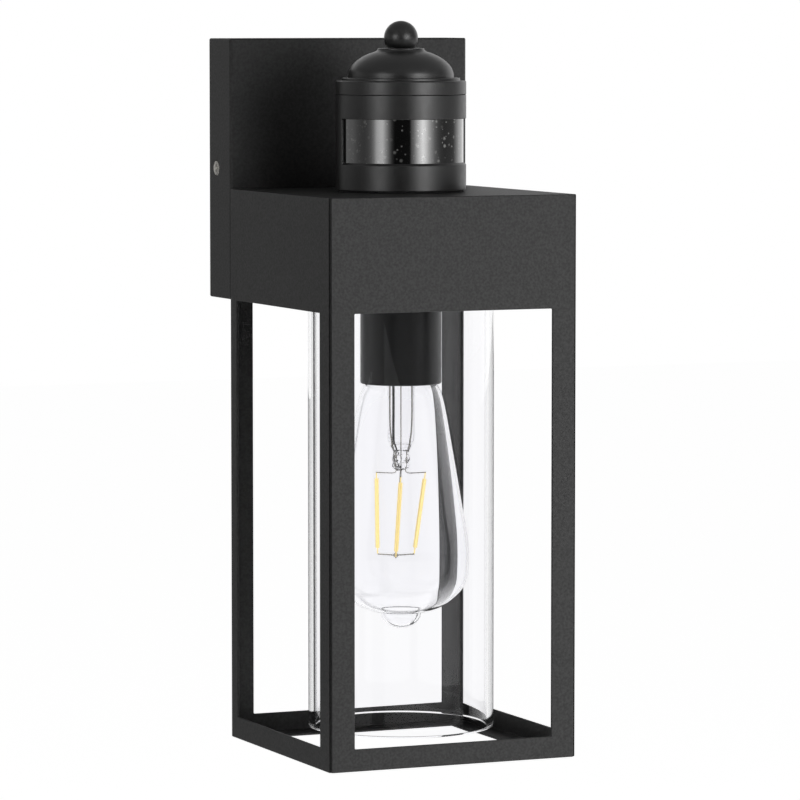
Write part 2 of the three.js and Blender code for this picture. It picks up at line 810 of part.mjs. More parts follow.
function glassCylinder() {
  const inner = glassRadius - glassWall;
  const rim = glassRimRadius;
  const shoulder = glassShoulderRadius;
  const side = new THREE.Path();
  side.moveTo(glassHoleRadius, glassTop);
  side.lineTo(glassHoleRadius, glassTop - glassWall);
  side.lineTo(glassRadius - shoulder, glassTop - glassWall);
  side.absarc(glassRadius - shoulder, glassTop - shoulder, shoulder - glassWall, Math.PI / 2, 0, true);
  side.lineTo(inner, railTop + rim);
  side.absarc(inner + rim, railTop + rim, rim, Math.PI, 1.5 * Math.PI, false);
  side.absarc(glassRadius - rim, railTop + rim, rim, 1.5 * Math.PI, 2 * Math.PI, false);
  side.lineTo(glassRadius, glassTop - shoulder);
  side.absarc(glassRadius - shoulder, glassTop - shoulder, shoulder, 0, Math.PI / 2, false);
  return part("glass_cylinder", revolve(pointsOf(side), fineSegments), clearGlass());
}

function glassSeal(name, top) {
  const seal = ring(glassHoleRadius, sleeveFlangeRadius, top - sealThickness, top);
  return part(name, seal, paleSilicone());
}

// The ring that screws up the sleeve under the glass, with finger notches round its edge.
function clampRing() {
  const inner = sleeveRadius + runningGap;
  const bottom = -ringHeight;
  const side = new THREE.Path();
  side.moveTo(inner, 0);
  side.lineTo(inner, bottom);
  side.lineTo(ringOuterRadius - ringChamfer, bottom);
  side.lineTo(ringOuterRadius, bottom + ringChamfer);
  side.lineTo(ringOuterRadius, -ringChamfer);
  side.lineTo(ringOuterRadius - ringChamfer, 0);
  const notches = Array.from({ length: ringNotchCount }, (_, i) =>
    cylinder(ringNotchRadius, bottom - overrun, overrun, wireSides)
      .translate(ringOuterRadius + ringNotchRadius / 2, 0, 0)
      .rotateZ((i / ringNotchCount) * 2 * Math.PI),
  );
  const blank = revolve(pointsOf(side), fineSegments);
  return at(part("clamp_ring", cut(blank, ...notches), mouldedBlack()), 0, 0, ringTop);
}

// The bulb, modelled downwards from the tip of its base at z = 0

const baseTop = -(tipHeight + insulatorHeight);
const baseBottom = baseTop - baseLength;
const neckRadius = baseRadius - baseWall - fitGap;
const neckTop = baseBottom + neckInsertion;
const nippleTop = -(bulbLength - nippleHeight);

// The blown outline from the neck to the nipple: shares of the bulb's radius, and shares of the
// drop from the base to the nipple.
const blownRadiusShares = [0.526, 0.628, 0.76, 0.885, 0.984, 0.997, 0.936, 0.718, 0.497];
const blownDropShares = [0.038, 0.11, 0.32, 0.53, 0.69, 0.8, 0.882, 0.951, 0.986];

function bulbOutside() {
  const drop = baseBottom - nippleTop;
  const neck = new THREE.Vector2(neckRadius, baseBottom);
  const blown = blownRadiusShares.map(
    (share, i) => new THREE.Vector2(share * bulbRadius, baseBottom - blownDropShares[i] * drop),
  );
  const root = new THREE.Vector2(nippleRadius, nippleTop);
  const curve = new THREE.SplineCurve([neck, ...blown, root]);
  const nipple = new THREE.EllipseCurve(0, nippleTop, nippleRadius, nippleHeight, 0, -Math.PI / 2, true);
  const start = new THREE.Vector2(neckRadius, neckTop);
  return [start, ...curve.getPoints(blownSegments), ...nipple.getPoints(2 * cornerSegments).slice(1)];
}

function bulbEnvelope() {
  const outside = bulbOutside();
  const inside = offsetPoints(outside, -bulbGlassWall);
  inside[inside.length - 1].setX(0);
  outside[outside.length - 1].setX(0);
  return part("bulb_envelope", revolve([...outside, ...inside.reverse()]), clearGlass());
}

function bulbBase() {
  const inner = baseRadius - baseWall;
  const side = new THREE.Path();
  side.moveTo(baseRadius - 2 * baseRoll, baseTop - baseWall);
  side.lineTo(baseRadius - 2 * baseRoll, baseTop);
  side.lineTo(baseRadius - baseRoll, baseTop);
  side.absarc(baseRadius - baseRoll, baseTop - baseRoll, baseRoll, Math.PI / 2, 0, true);
  side.lineTo(baseRadius, baseBottom);
  side.lineTo(inner, baseBottom);
  side.lineTo(inner, baseTop - baseRoll);
  side.absarc(baseRadius - baseRoll, baseTop - baseRoll, baseRoll - baseWall, 0, Math.PI / 2, false);
  return part("bulb_screw_base", revolve(pointsOf(side, 1)), nickel());
}

function bulbInsulator() {
  const top = -tipHeight - fitGap;
  const bottom = baseTop + fitGap;
  const side = new THREE.Path();
  side.moveTo(0, bottom);
  side.lineTo(baseRadius - baseRoll - baseWall, bottom);
  side.lineTo(tipRadius + fitGap, top);
  side.lineTo(0, top);
  return part("bulb_insulator", revolve(pointsOf(side), coarseSegments), blackVitrite());
}

function bulbTip() {
  const side = new THREE.Path();
  side.moveTo(0, -tipHeight);
  side.lineTo(tipRadius, -tipHeight);
  side.quadraticCurveTo(tipRadius, 0, 0, 0);
  return part("bulb_tip_contact", revolve(pointsOf(side), coarseSegments), zincSteel());
}

const stemTop = baseBottom + stemFlareHeight / 2;
const stemBottom = stemTop - stemFlareHeight - stemLength - stemPinchHeight;

// A glass tube whose flared top is sealed into the neck, and whose pinched end holds the wires.
function bulbStem() {
  const flareRadius = neckRadius - bulbGlassWall - runningGap;
  const pinchTop = stemBottom + stemPinchHeight;
  const inner = stemRadius - stemWall;
  const side = new THREE.Path();
  side.moveTo(0, stemBottom);
  side.lineTo(stemPinchRadius, stemBottom);
  side.quadraticCurveTo(stemPinchRadius, pinchTop, stemRadius, pinchTop + stemWall);
  side.lineTo(stemRadius, stemTop - stemFlareHeight);
  side.quadraticCurveTo(stemRadius, stemTop - stemWall, flareRadius, stemTop);
  side.lineTo(flareRadius - stemWall, stemTop);
  side.quadraticCurveTo(inner, stemTop - stemWall, inner, stemTop - stemFlareHeight);
  side.lineTo(inner, pinchTop + 2 * stemPinchHeight);
  side.lineTo(0, pinchTop + stemPinchHeight);
  return part("bulb_stem", revolve(pointsOf(side), coarseSegments), clearGlass());
}

const filamentPinTop = stemBottom - leadDrop;
const filamentPinBottom = filamentPinTop - filamentLength - 2 * filamentPinLength;

function supportRod() {
  const bottom = filamentPinBottom + hubBeadRadius + fitGap;
  return part("bulb_support_rod", cylinder(rodRadius, bottom, stemBottom - fitGap, wireSides), nickel());
}

// One lead wire and one filament for each third of the turn.
function filamentSet() {
  const pieces = Array.from({ length: filamentCount }, (_, i) => {
    const spot = group(leadWire(i + 1), filament(i + 1));
    spot.rotation.z = THREE.MathUtils.degToRad(filamentClockingDegrees) + (i / filamentCount) * 2 * Math.PI;
    return spot;
  });
  return pieces;
}

// A wire that drops from the stem's end and turns out to a filament's top, along X.
function leadWire(number) {
  const top = stemBottom - fitGap;
  const level = filamentPinTop + 2 * leadRadius + fitGap;
  const route = [
    [leadCircleRadius, top],
    [leadCircleRadius, (top + level) / 2],
    [leadCircleRadius + leadRadius, level + 2 * leadRadius],
    [leadCircleRadius + 4 * leadRadius, level],
    [(leadCircleRadius + filamentTopRadius) / 2, level],
    [filamentTopRadius + filamentPinRadius, level],
  ].map(([x, z]) => new THREE.Vector3(x, 0, z));
  return part(`bulb_lead_wire_${number}`, tubeAlong(route, leadRadius, wireSteps), nickel());
}

// A coated rod with a bare pin at each end, leaning in towards the hub.
function filament(number) {
  const half = filamentLength / 2;
  const lean = Math.atan2(filamentTopRadius - filamentFootRadius, filamentLength + 2 * filamentPinLength);
  const side = new THREE.Path();
  side.moveTo(0, -half - filamentPinLength);
  side.lineTo(filamentPinRadius, -half - filamentPinLength);
  side.lineTo(filamentPinRadius, -half);
  side.lineTo(filamentRadius, -half);
  side.lineTo(filamentRadius, half);
  side.lineTo(filamentPinRadius, half);
  side.lineTo(filamentPinRadius, half + filamentPinLength);
  side.lineTo(0, half + filamentPinLength);
  const mesh = part(`bulb_filament_${number}`, revolve(pointsOf(side), wireSides), phosphor());
  mesh.rotation.y = lean;
  return at(mesh, (filamentTopRadius + filamentFootRadius) / 2, 0, (filamentPinTop + filamentPinBottom) / 2);
}

// The bead that joins the filaments' feet, with an arm to each.
function filamentHub() {
  const level = filamentPinBottom - filamentPinRadius - fitGap;
  const bead = new THREE.SphereGeometry(hubBeadRadius, wireSides, wireSides).translate(0, 0, level);
  const arms = Array.from({ length: filamentCount }, (_, i) =>
    cylinder(filamentPinRadius, 0, filamentFootRadius + filamentPinRadius, wireSides)
      .rotateY(Math.PI / 2)
      .rotateZ((i / filamentCount) * 2 * Math.PI)
      .translate(0, 0, level),
  );
  const mesh = part("bulb_filament_hub", join(bead, ...arms), nickel());
  mesh.rotation.z = THREE.MathUtils.degToRad(filamentClockingDegrees);
  return mesh;
}

// The sensor head, modelled upwards from the roof of the header at z = 0

function sensorSeal() {
  const outer = sensorRadius - sensorWall / 2;
  const seal = ring(outer - sensorSealWidth, outer, fitGap, fitGap + sensorSealThickness);
  return part("sensor_seal", seal, blackRubber());
}

// A moulded drum with a wide front window, whose sill slopes outwards. The lens lies in a
// rebate cut into the wall behind the window.
function sensorHousing() {
  const drum = ring(sensorInnerRadius, sensorRadius, sensorShellBottom, sensorShellHeight, fineSegments);
  const beyond = sensorRadius + overrun;
  const opening = new THREE.Path();
  opening.moveTo(sensorInnerRadius - overrun, windowSill);
  opening.lineTo(lensRadius, windowSill);
  opening.lineTo(sensorRadius, windowSill - windowSillSlope);
  opening.lineTo(beyond, windowSill - windowSillSlope);
  opening.lineTo(beyond, windowHead);
  opening.lineTo(sensorInnerRadius - overrun, windowHead);
  const slice = extrude(frontSlice(2 * beyond, windowHalfAngleDegrees), sensorShellHeight, fineSegments);
  const window = common(revolve(pointsOf(opening), fineSegments), slice);
  const rebateRing = ring(
    sensorInnerRadius - overrun,
    lensRadius + fitGap,
    windowSill - lensMargin - fitGap,
    windowHead + lensMargin + fitGap,
    fineSegments,
  );
  const wideAngle = windowHalfAngleDegrees + lensMarginDegrees + lensGapDegrees;
  const wideSlice = extrude(frontSlice(2 * beyond, wideAngle), sensorShellHeight, fineSegments);
  return part("sensor_housing", cut(drum, window, common(rebateRing, wideSlice)), mouldedBlack());
}

function sensorLens() {
  const bottom = windowSill - lensMargin;
  const top = windowHead + lensMargin;
  const band = ring(lensRadius - lensThickness, lensRadius, bottom, top, fineSegments);
  const slice = frontSlice(2 * sensorRadius, windowHalfAngleDegrees + lensMarginDegrees);
  const lens = common(band, extrude(slice, sensorShellHeight, fineSegments));
  return part("sensor_lens", lens, smokedLens());
}

// The floor that closes the drum, with the hollow stud that passes through the header's roof.
function sensorFloor() {
  const side = new THREE.Path();
  side.moveTo(studBoreRadius, -sheetThickness - studDrop);
  side.lineTo(studRadius, -sheetThickness - studDrop);
  side.lineTo(studRadius, fitGap);
  side.lineTo(sensorInnerRadius - 2 * sensorSealWidth, fitGap);
  side.lineTo(sensorInnerRadius - 2 * sensorSealWidth, sensorShellBottom);
  side.lineTo(sensorInnerRadius - fitGap, sensorShellBottom);
  side.lineTo(sensorInnerRadius - fitGap, sensorFloorTop);
  side.lineTo(studBoreRadius, sensorFloorTop);
  return part("sensor_floor", revolve(pointsOf(side), fineSegments), mouldedBlack());
}

function sensorNut() {
  const hexagon = nut(sensorNutAcross, sensorNutHeight, studRadius + runningGap);
  return at(part("sensor_nut", hexagon, zincSteel()), 0, 0, -sheetThickness - fitGap - sensorNutHeight);
}

const capBottom = sensorShellHeight + fitGap;
const domeBottom = capBottom + capSkirtHeight + capStepHeight + domeFootHeight;
const collarBottom = domeBottom + domeHeight * Math.sqrt(1 - (collarRadius / domeRadius) ** 2);
const collarTop = collarBottom + collarHeight;

// A stepped cap: a skirt, a ledge, a bell-shaped dome and a small collar, hollow from below.
function sensorCap() {
  const skirtTop = capBottom + capSkirtHeight;
  const stepTop = skirtTop + capStepHeight;
  const spigotRadius = sensorInnerRadius - fitGap;
  const round = capStepHeight / 2;
  const collarAngle = Math.acos(collarRadius / domeRadius);
  const side = new THREE.Path();
  side.moveTo(spigotRadius, capBottom);
  side.lineTo(sensorRadius, capBottom);
  side.lineTo(sensorRadius, skirtTop - round);
  side.lineTo(sensorRadius - round, skirtTop);
  side.lineTo(capStepRadius + round, skirtTop);
  side.lineTo(capStepRadius, skirtTop + round);
  side.lineTo(capStepRadius - round, stepTop);
  side.quadraticCurveTo(domeRadius, stepTop, domeRadius, domeBottom);
  side.absellipse(0, domeBottom, domeRadius, domeHeight, 0, collarAngle, false);
  side.lineTo(collarRadius, collarTop);
  side.lineTo(ballShankRadius + fitGap, collarTop);
  side.lineTo(ballShankRadius + fitGap, collarBottom - capWall);
  side.lineTo(collarRadius, collarBottom - capWall);
  side.quadraticCurveTo(domeRadius - capWall, collarBottom - 2 * capWall, domeRadius - capWall, domeBottom);
  side.lineTo(spigotRadius - capWall, skirtTop);
  side.lineTo(spigotRadius - capWall, capBottom - capSpigotDepth);
  side.lineTo(spigotRadius, capBottom - capSpigotDepth);
  return part("sensor_cap", revolve(pointsOf(side, cornerSegments), fineSegments), mouldedBlack());
}

// The ball sits on the collar and is held by its shank.
function capBall() {
  const foot = -(ballRadius - ballSink);
  const footRadius = Math.sqrt(ballRadius ** 2 - foot ** 2);
  const side = new THREE.Path();
  side.moveTo(0, foot - ballShankLength);
  side.lineTo(ballShankRadius, foot - ballShankLength);
  side.lineTo(ballShankRadius, foot);
  side.absarc(0, 0, ballRadius, Math.atan2(foot, footRadius), Math.PI / 2, false);
  const ball = part("cap_ball", revolve(pointsOf(side, ballSegments)), mouldedBlack());
  return at(ball, 0, 0, collarTop + fitGap - foot);
}

// The board stands on the floor, facing the window.
function circuitBoard() {
  const front = boardOffset;
  const board = block(
    [-boardWidth / 2, front, boardBottom],
    [boardWidth / 2, front + boardThickness, boardBottom + boardHeight],
  );
  return part("circuit_board", board, boardGreen());
}

const boardMiddle = boardBottom + boardHeight / 2;

function pirSensor() {
  const side = new THREE.Path();
  side.moveTo(0, 0);
  side.lineTo(pirRadius, 0);
  side.lineTo(pirRadius, pirFlange);
  side.lineTo(pirRadius - pirFlange, pirFlange);
  side.lineTo(pirRadius - pirFlange, pirHeight);
  side.lineTo(0, pirHeight);
  const mesh = part("pir_sensor", revolve(pointsOf(side), coarseSegments), nickel());
  mesh.rotation.x = Math.PI / 2;
  return at(mesh, 0, boardOffset - fitGap, boardMiddle);
}

function photocell() {
  const mesh = part("photocell", cylinder(photocellRadius, 0, photocellHeight), phosphor());
  mesh.rotation.x = Math.PI / 2;
  return at(mesh, 0, boardOffset - fitGap, boardMiddle + photocellRise);
}

const boardBack = boardOffset + boardThickness + fitGap;

function powerRelay() {
  const left = -relayOffset - relayWidth / 2;
  const bottom = boardBottom + componentRise;
  const relay = block(
    [left, boardBack, bottom],
    [left + relayWidth, boardBack + relayDepth, bottom + relayHeight],
  );
  return part("power_relay", relay, insulation("#20232a"));
}

function capacitor() {
  const can = cylinder(capacitorRadius, 0, capacitorHeight);
  const place = [capacitorOffset, boardBack + capacitorRadius, boardBottom + componentRise];
  return at(part("capacitor", can, satinBlack()), ...place);
}

// Leads inside the header, in the body's frame

// The live and neutral leads of the sensor: down through the stud, then back to the grommet.
function sensorSupplyLead(name, side, color) {
  const x = side * wirePitch;
  const front = boardOffset - fitGap - wireRadius;
  const level = grommetHeight;
  const studBottom = headerTop - sheetThickness - studDrop;
  const end = bodyDepth / 2 + bodyRear - grommetInnerFace;
  const route = [
    [x, front, headerTop + boardBottom + wireTerminalRise],
    [x, front, headerTop],
    [x, front, studBottom],
    [x, front + wireBend / 2, level + wireRadius],
    [x, front + wireBend, level],
    [x, bodyDepth / 4, level],
    [x, end, level],
  ].map((point) => new THREE.Vector3(...point));
  return part(name, tubeAlong(route, wireRadius, 2 * wireSteps), insulation(color));
}

// The switched lead: from the sensor straight down the threaded tube to the lampholder.
function switchedLead() {
  const front = boardOffset - fitGap - wireRadius;
  const studBottom = headerTop - sheetThickness - studDrop;
  const route = [
    [0, front, headerTop + boardBottom + wireTerminalRise],
    [0, front, headerTop],
    [0, front, studBottom + wireRadius],
    [0, -wireTubeOffset, crossbarTop + tubeNutHeight + tubeStandout],
    [0, -wireTubeOffset, crossbarTop],
    [0, -wireTubeOffset, holderTop - wireTerminalDepth],
  ].map((point) => new THREE.Vector3(...point));
  return part("switched_lead", tubeAlong(route, wireRadius, wireSteps), insulation("#8c2f28"));
}

// The neutral of the lampholder: up out of the threaded tube, then back to the grommet.
function holderNeutralLead() {
  const tubeTop = crossbarTop + tubeNutHeight + tubeStandout;
  const level = grommetHeight;
  const end = bodyDepth / 2 + bodyRear - grommetInnerFace;
  const route = [
    [0, wireTubeOffset, holderTop - wireTerminalDepth],
    [0, wireTubeOffset, crossbarTop],
    [0, wireTubeOffset, tubeTop],
    [0, 2 * wireBend, level],
    [0, 3 * wireBend, level],
    [0, end, level],
  ].map((point) => new THREE.Vector3(...point));
  return part("holder_neutral_lead", tubeAlong(route, wireRadius, 2 * wireSteps), insulation("#e4e2dc"));
}

// Assembly

const wallSide = group(
  wallBracket(),
  earthScrew(),
  panSeal(),
  backPan(),
  sideScrew("side_screw_left", -1),
  sideScrew("side_screw_right", 1),
  bodyFasteners(),
  leadGrommet(),
);
wallSide.rotation.x = Math.PI / 2;

const bulb = group(
  bulbEnvelope(),
  bulbBase(),
  bulbInsulator(),
  bulbTip(),
  bulbStem(),
  supportRod(),
  filamentSet(),
  filamentHub(),
);

const sensorHead = group(
  sensorSeal(),
  sensorHousing(),
  sensorLens(),
  sensorFloor(),
  sensorNut(),
  sensorCap(),
  capBall(),
  circuitBoard(),
  pirSensor(),
  photocell(),
  powerRelay(),
  capacitor(),
);

const body = group(
  headerShell(),
  cornerPosts(),
  bottomRails(),
  socketCrossbar(),
  threadedTube(),
  tubeNut(),
  socketSleeve(),
  lampholder(),
  screwShell(),
  centreContact(),
  glassCylinder(),
  glassSeal("upper_glass_seal", upperSealTop),
  glassSeal("lower_glass_seal", lowerSealTop),
  clampRing(),
  at(bulb, 0, 0, bulbTop),
  at(sensorHead, 0, 0, headerTop),
  sensorSupplyLead("sensor_live_lead", -1, "#202020"),
  sensorSupplyLead("sensor_neutral_lead", 1, "#dedbd2"),
  switchedLead(),
  holderNeutralLead(),
);

const lantern = group(wallSide, at(body, 0, axisY, 0));
lantern.name = "wall_lantern";

export default lantern;
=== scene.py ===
"""Looks of an outdoor wall lantern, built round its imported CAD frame.

Sizes are written in millimetres in the CAD's own frame: X to the right, Y into the wall, Z up,
and the origin at the centre of the wall bracket's back. The helpers turn them into metres.
"""

import logging
import math
from collections.abc import Callable, Iterator, Sequence
from contextlib import contextmanager
from dataclasses import dataclass, field
from enum import Enum
from typing import Any

import bmesh
import bpy
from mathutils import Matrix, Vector


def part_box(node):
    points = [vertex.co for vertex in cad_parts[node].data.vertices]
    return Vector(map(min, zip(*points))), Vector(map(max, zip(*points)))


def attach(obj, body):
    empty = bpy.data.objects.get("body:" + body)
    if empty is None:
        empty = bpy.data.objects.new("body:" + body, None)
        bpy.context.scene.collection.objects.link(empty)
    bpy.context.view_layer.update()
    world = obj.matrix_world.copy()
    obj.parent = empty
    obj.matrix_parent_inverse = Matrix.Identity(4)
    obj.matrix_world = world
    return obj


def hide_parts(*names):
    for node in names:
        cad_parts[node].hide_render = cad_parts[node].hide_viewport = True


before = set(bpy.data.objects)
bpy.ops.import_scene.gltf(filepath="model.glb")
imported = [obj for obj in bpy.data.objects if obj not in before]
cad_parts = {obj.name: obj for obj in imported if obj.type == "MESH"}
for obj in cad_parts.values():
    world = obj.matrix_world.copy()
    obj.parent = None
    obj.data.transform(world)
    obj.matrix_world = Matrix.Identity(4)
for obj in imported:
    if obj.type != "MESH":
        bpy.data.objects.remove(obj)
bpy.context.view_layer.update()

MM = 0.001
WELD = 2e-6
LOG = logging.getLogger("lantern")

# Heights and places that the sub-assemblies share
AXIS_Y = -87.6
AXIS = (0.0, AXIS_Y, 0.0)
ORIGIN = (0.0, 0.0, 0.0)
HEADER_TOP = -9.0
HEADER_BOTTOM = -60.0
RAIL_TOP = -253.0
CAGE_BOTTOM = -263.0
BODY_SCREW_X = 38.0
BODY_SCREW_Z = -35.0
GROMMET_Z = -22.0

# How finely round pieces are spun and sheets are folded
FINE = 128
MEDIUM = 64
COARSE = 32
FOLD_STEPS = 4

# The turns in degrees that count as sharp when edges are eased and when they are shaded
SHARP_EDGE = 50.0
SHARP_SHADE = 35.0
SHARP_THREAD = 60.0

# How near in millimetres a middle lies to a plane that it is on, and how steep a face's normal is
NEAR = 0.01
STEEP = 0.5

Point = tuple[float, float]
Place = Sequence[float]
Piece = bpy.types.Object
Output = bpy.types.NodeSocket
Wanted = Callable[[Vector, Vector], bool]


class Body(Enum):
    """The CAD bodies that pieces ride on."""

    LANTERN = "lantern"
    BULB = "bulb"
    GLASS = "glass"
    RING = "ring"


class LampUse(Enum):
    """What a studio lamp is for."""

    FILL = "lights the surfaces"
    MIRRORED = "shows in glossy surfaces"


class Pick(Enum):
    """What an edit-mode selection is made of."""

    CORNERS = "VERT"
    EDGES = "EDGE"
    FACES = "FACE"


# Modelling helpers


def metres(place: Place) -> Vector:
    """Turn a place in millimetres into metres."""
    return Vector(place) * MM


def only(piece: Piece) -> None:
    """Select one piece and nothing else, and make it the active one.

    Args:
        piece: The piece to select.
    """
    for other in bpy.context.selected_objects:
        other.select_set(False)
    piece.select_set(True)
    bpy.context.view_layer.objects.active = piece


def latest(name: str) -> Piece:
    """Name the primitive that was just added and apply its place.

    Args:
        name: The name of the new piece.

    Returns:
        The new piece, with its object at the origin.
    """
    piece = bpy.context.active_object
    piece.name = name
    piece.data.name = name
    only(piece)
    bpy.ops.object.transform_apply(location=True, rotation=True, scale=True)
    return piece


@contextmanager
def editing(piece: Piece) -> Iterator[None]:
    """Open a piece in edit mode with all of it selected, and close it again.

    Args:
        piece: The piece to edit.

    Yields:
        Nothing; the piece is in edit mode inside the block.
    """
    only(piece)
    bpy.ops.object.mode_set(mode="EDIT")
    bpy.ops.mesh.select_mode(type=Pick.CORNERS.value)
    bpy.ops.mesh.select_all(action="SELECT")
    yield
    bpy.ops.object.mode_set(mode="OBJECT")


def select(piece: Piece, pick: Pick, wanted: Wanted) -> None:
    """Select what lies at a wanted place on a piece that is in edit mode.

    Args:
        piece: The piece that is being edited.
        pick: Whether corners, edges or faces are selected.
        wanted: Says from a middle in millimetres, and a normal or an edge's direction, whether
            the item is selected.
    """
    bpy.ops.mesh.select_mode(type=pick.value)
    bpy.ops.mesh.select_all(action="DESELECT")
    mesh = bmesh.from_edit_mesh(piece.data)
    if pick is Pick.CORNERS:
        items = [(corner, corner.co, corner.normal) for corner in mesh.verts]
    elif pick is Pick.EDGES:
        ends = [(edge, edge.verts[0].co, edge.verts[1].co) for edge in mesh.edges]
        items = [(edge, (a + b) / 2, (b - a).normalized()) for edge, a, b in ends]
    else:
        items = [(face, face.calc_center_median(), face.normal) for face in mesh.faces]
    for item, middle, direction in items:
        item.select = wanted(middle / MM, direction)
    mesh.select_flush_mode()
    bmesh.update_edit_mesh(piece.data)


def modify(piece: Piece, kind: str, **settings: Any) -> None:
    """Add a modifier to a piece and apply it.

    Args:
        piece: The piece to change.
        kind: The modifier's type.
        **settings: The modifier's settings.
    """
    modifier = piece.modifiers.new(kind.title(), kind)
    for name, value in settings.items():
        setattr(modifier, name, value)
    only(piece)
    bpy.ops.object.modifier_apply(modifier=modifier.name)


def thicken(piece: Piece, thickness: float) -> None:
    """Give a sheet whose faces point outwards its thickness, inwards."""
    modify(piece, "SOLIDIFY", thickness=thickness * MM, offset=-1, use_even_offset=True)


def ease_edges(piece: Piece, width: float, segments: int = 2) -> None:
    """Round a piece's sharp edges over a width, in a number of flats."""
    limit = {"limit_method": "ANGLE", "angle_limit": math.radians(SHARP_EDGE)}
    modify(piece, "BEVEL", width=width * MM, segments=segments, **limit)


def fold_sheet(sheet: Piece, thickness: float, is_fold: Wanted, fold: float) -> None:
    """Give a sheet its thickness, and round its outer folds.

    Args:
        sheet: The sheet.
        thickness: Its thickness.
        is_fold: Says whether an edge is an outer fold.
        fold: How far the rounding of a fold reaches.
    """
    thicken(sheet, thickness)
    with editing(sheet):
        select(sheet, Pick.EDGES, is_fold)
        bpy.ops.mesh.bevel(offset=fold * MM, segments=FOLD_STEPS, affect="EDGES")


def on_fold(*gaps: float) -> bool:
    """Say from its distances to a sheet's outer planes whether a middle lies on two of them."""
    return sum(abs(gap) < NEAR for gap in gaps) >= 2


def place(piece: Piece, where: Place, turn: Place = ORIGIN) -> Piece:
    """Turn and move a piece, and apply it to the mesh.

    Args:
        piece: The piece, modelled round the origin.
        where: Where its origin goes, in millimetres.
        turn: Its turns about X, Y and Z, in degrees.

    Returns:
        The same piece.
    """
    piece.location = metres(where)
    piece.rotation_euler = [math.radians(angle) for angle in turn]
    only(piece)
    bpy.ops.object.transform_apply(location=True, rotation=True, scale=True)
    return piece


def block(name: str, low: Place, high: Place) -> Piece:
    """Add a block between its lowest and its highest corner.

    Args:
        name: The piece's name.
        low: Its lowest corner, in millimetres.
        high: Its highest corner, in millimetres.

    Returns:
        The new piece.
    """
    low, high = metres(low), metres(high)
    bpy.ops.mesh.primitive_cube_add(size=1, location=(low + high) / 2, scale=high - low)
    return latest(name)


def rod(name: str, radius: float, start: Place, end: Place, sides: int = MEDIUM) -> Piece:
    """Add a straight rod between two places.

    Args:
        name: The piece's name.
        radius: Its radius in millimetres.
        start: The middle of its first end, in millimetres.
        end: The middle of its other end, in millimetres.
        sides: How many flats it has.

    Returns:
        The new piece.
    """
    start, end = metres(start), metres(end)
    along = end - start
    turn = along.to_track_quat("Z", "Y").to_euler()
    size = {"vertices": sides, "radius": radius * MM, "depth": along.length}
    bpy.ops.mesh.primitive_cylinder_add(location=(start + end) / 2, rotation=turn, **size)
    return latest(name)


def joined(name: str, pieces: Sequence[Piece]) -> Piece:
    """Join several meshes in one.

    Args:
        name: The name of the whole.
        pieces: The pieces to join.

    Returns:
        The first of them, which now holds all.
    """
    only(pieces[0])
    for piece in pieces:
        piece.select_set(True)
    bpy.ops.object.join()
    return latest(name)


def carve(piece: Piece, cutters: Sequence[Piece]) -> None:
    """Cut the cutters' shapes out of a piece, and delete the cutters.

    Args:
        piece: The piece to cut.
        cutters: Closed meshes that don't touch one another.
    """
    cutter = joined("cutter", cutters)
    modify(piece, "BOOLEAN", object=cutter, operation="DIFFERENCE", solver="EXACT")
    bpy.data.objects.remove(cutter)


def sew(piece: Piece) -> None:
    """Join the corners of a piece that meet, and turn its faces outwards.

    Args:
        piece: The piece.
    """
    with editing(piece):
        bpy.ops.mesh.remove_doubles(threshold=WELD)
        bpy.ops.mesh.normals_make_consistent(inside=False)


def drawn(name: str, path: Sequence[Place]) -> Piece:
    """Draw a line by extruding one corner from place to place.

    Args:
        name: The piece's name.
        path: The places that the line passes, in millimetres.

    Returns:
        The new piece, a mesh of edges.
    """
    bpy.ops.mesh.primitive_plane_add(size=MM)
    piece = latest(name)
    places = [metres(point) for point in path]
    with editing(piece):
        bpy.ops.mesh.merge(type="CENTER")
        bpy.ops.transform.translate(value=places[0])
        for here, there in zip(places, places[1:]):
            bpy.ops.mesh.extrude_region_move(TRANSFORM_OT_translate={"value": there - here})
    return piece


def spun(name: str, outline: Sequence[Point], steps: int = FINE) -> Piece:
    """Spin an outline round the Z axis.

    Args:
        name: The piece's name.
        outline: Radius and height of each point, in millimetres.
        steps: How many steps a full turn has.

    Returns:
        The new piece, round the origin, with its faces pointing outwards.
    """
    piece = drawn(name, [(radius, 0, height) for radius, height in outline])
    with editing(piece):
        bpy.ops.mesh.spin(steps=steps, angle=math.tau, center=(0, 0, 0), axis=(0, 0, 1))
    sew(piece)
    return piece


def wire(name: str, path: Sequence[Place], radius: float, sides: int = 6) -> Piece:
    """Run a round wire along a path.

    Args:
        name: The piece's name.
        path: The places that it passes, in millimetres.
        radius: The wire's radius in millimetres.
        sides: How many flats half a turn of its section has.

    Returns:
        The new piece, closed at both ends.
    """
    drawn(name, path)
    bpy.ops.object.convert(target="CURVE")
    curve = bpy.context.active_object.data
    curve.bevel_depth = radius * MM
    curve.bevel_resolution = sides
    curve.use_fill_caps = True
    bpy.ops.object.convert(target="MESH")
    piece = latest(name)
    sew(piece)
    return piece


def arc(centre: Point, radius: float, start: float, end: float, steps: int) -> list[Point]:
    """Give the points of a circle's arc, as oval() does."""
    return oval(centre, (radius, radius), start, end, steps)


def oval(centre: Point, radii: Point, start: float, end: float, steps: int) -> list[Point]:
    """Give the points of an arc of an ellipse.

    Args:
        centre: Its centre.
        radii: Its two radii.
        start: Where it starts, in degrees from the first axis.
        end: Where it ends, in degrees.
        steps: How many flats it has.

    Returns:
        Its points, both ends included.
    """
    angles = [math.radians(start + (end - start) * step / steps) for step in range(steps + 1)]
    (x, z), (width, height) = centre, radii
    return [(x + width * math.cos(angle), z + height * math.sin(angle)) for angle in angles]


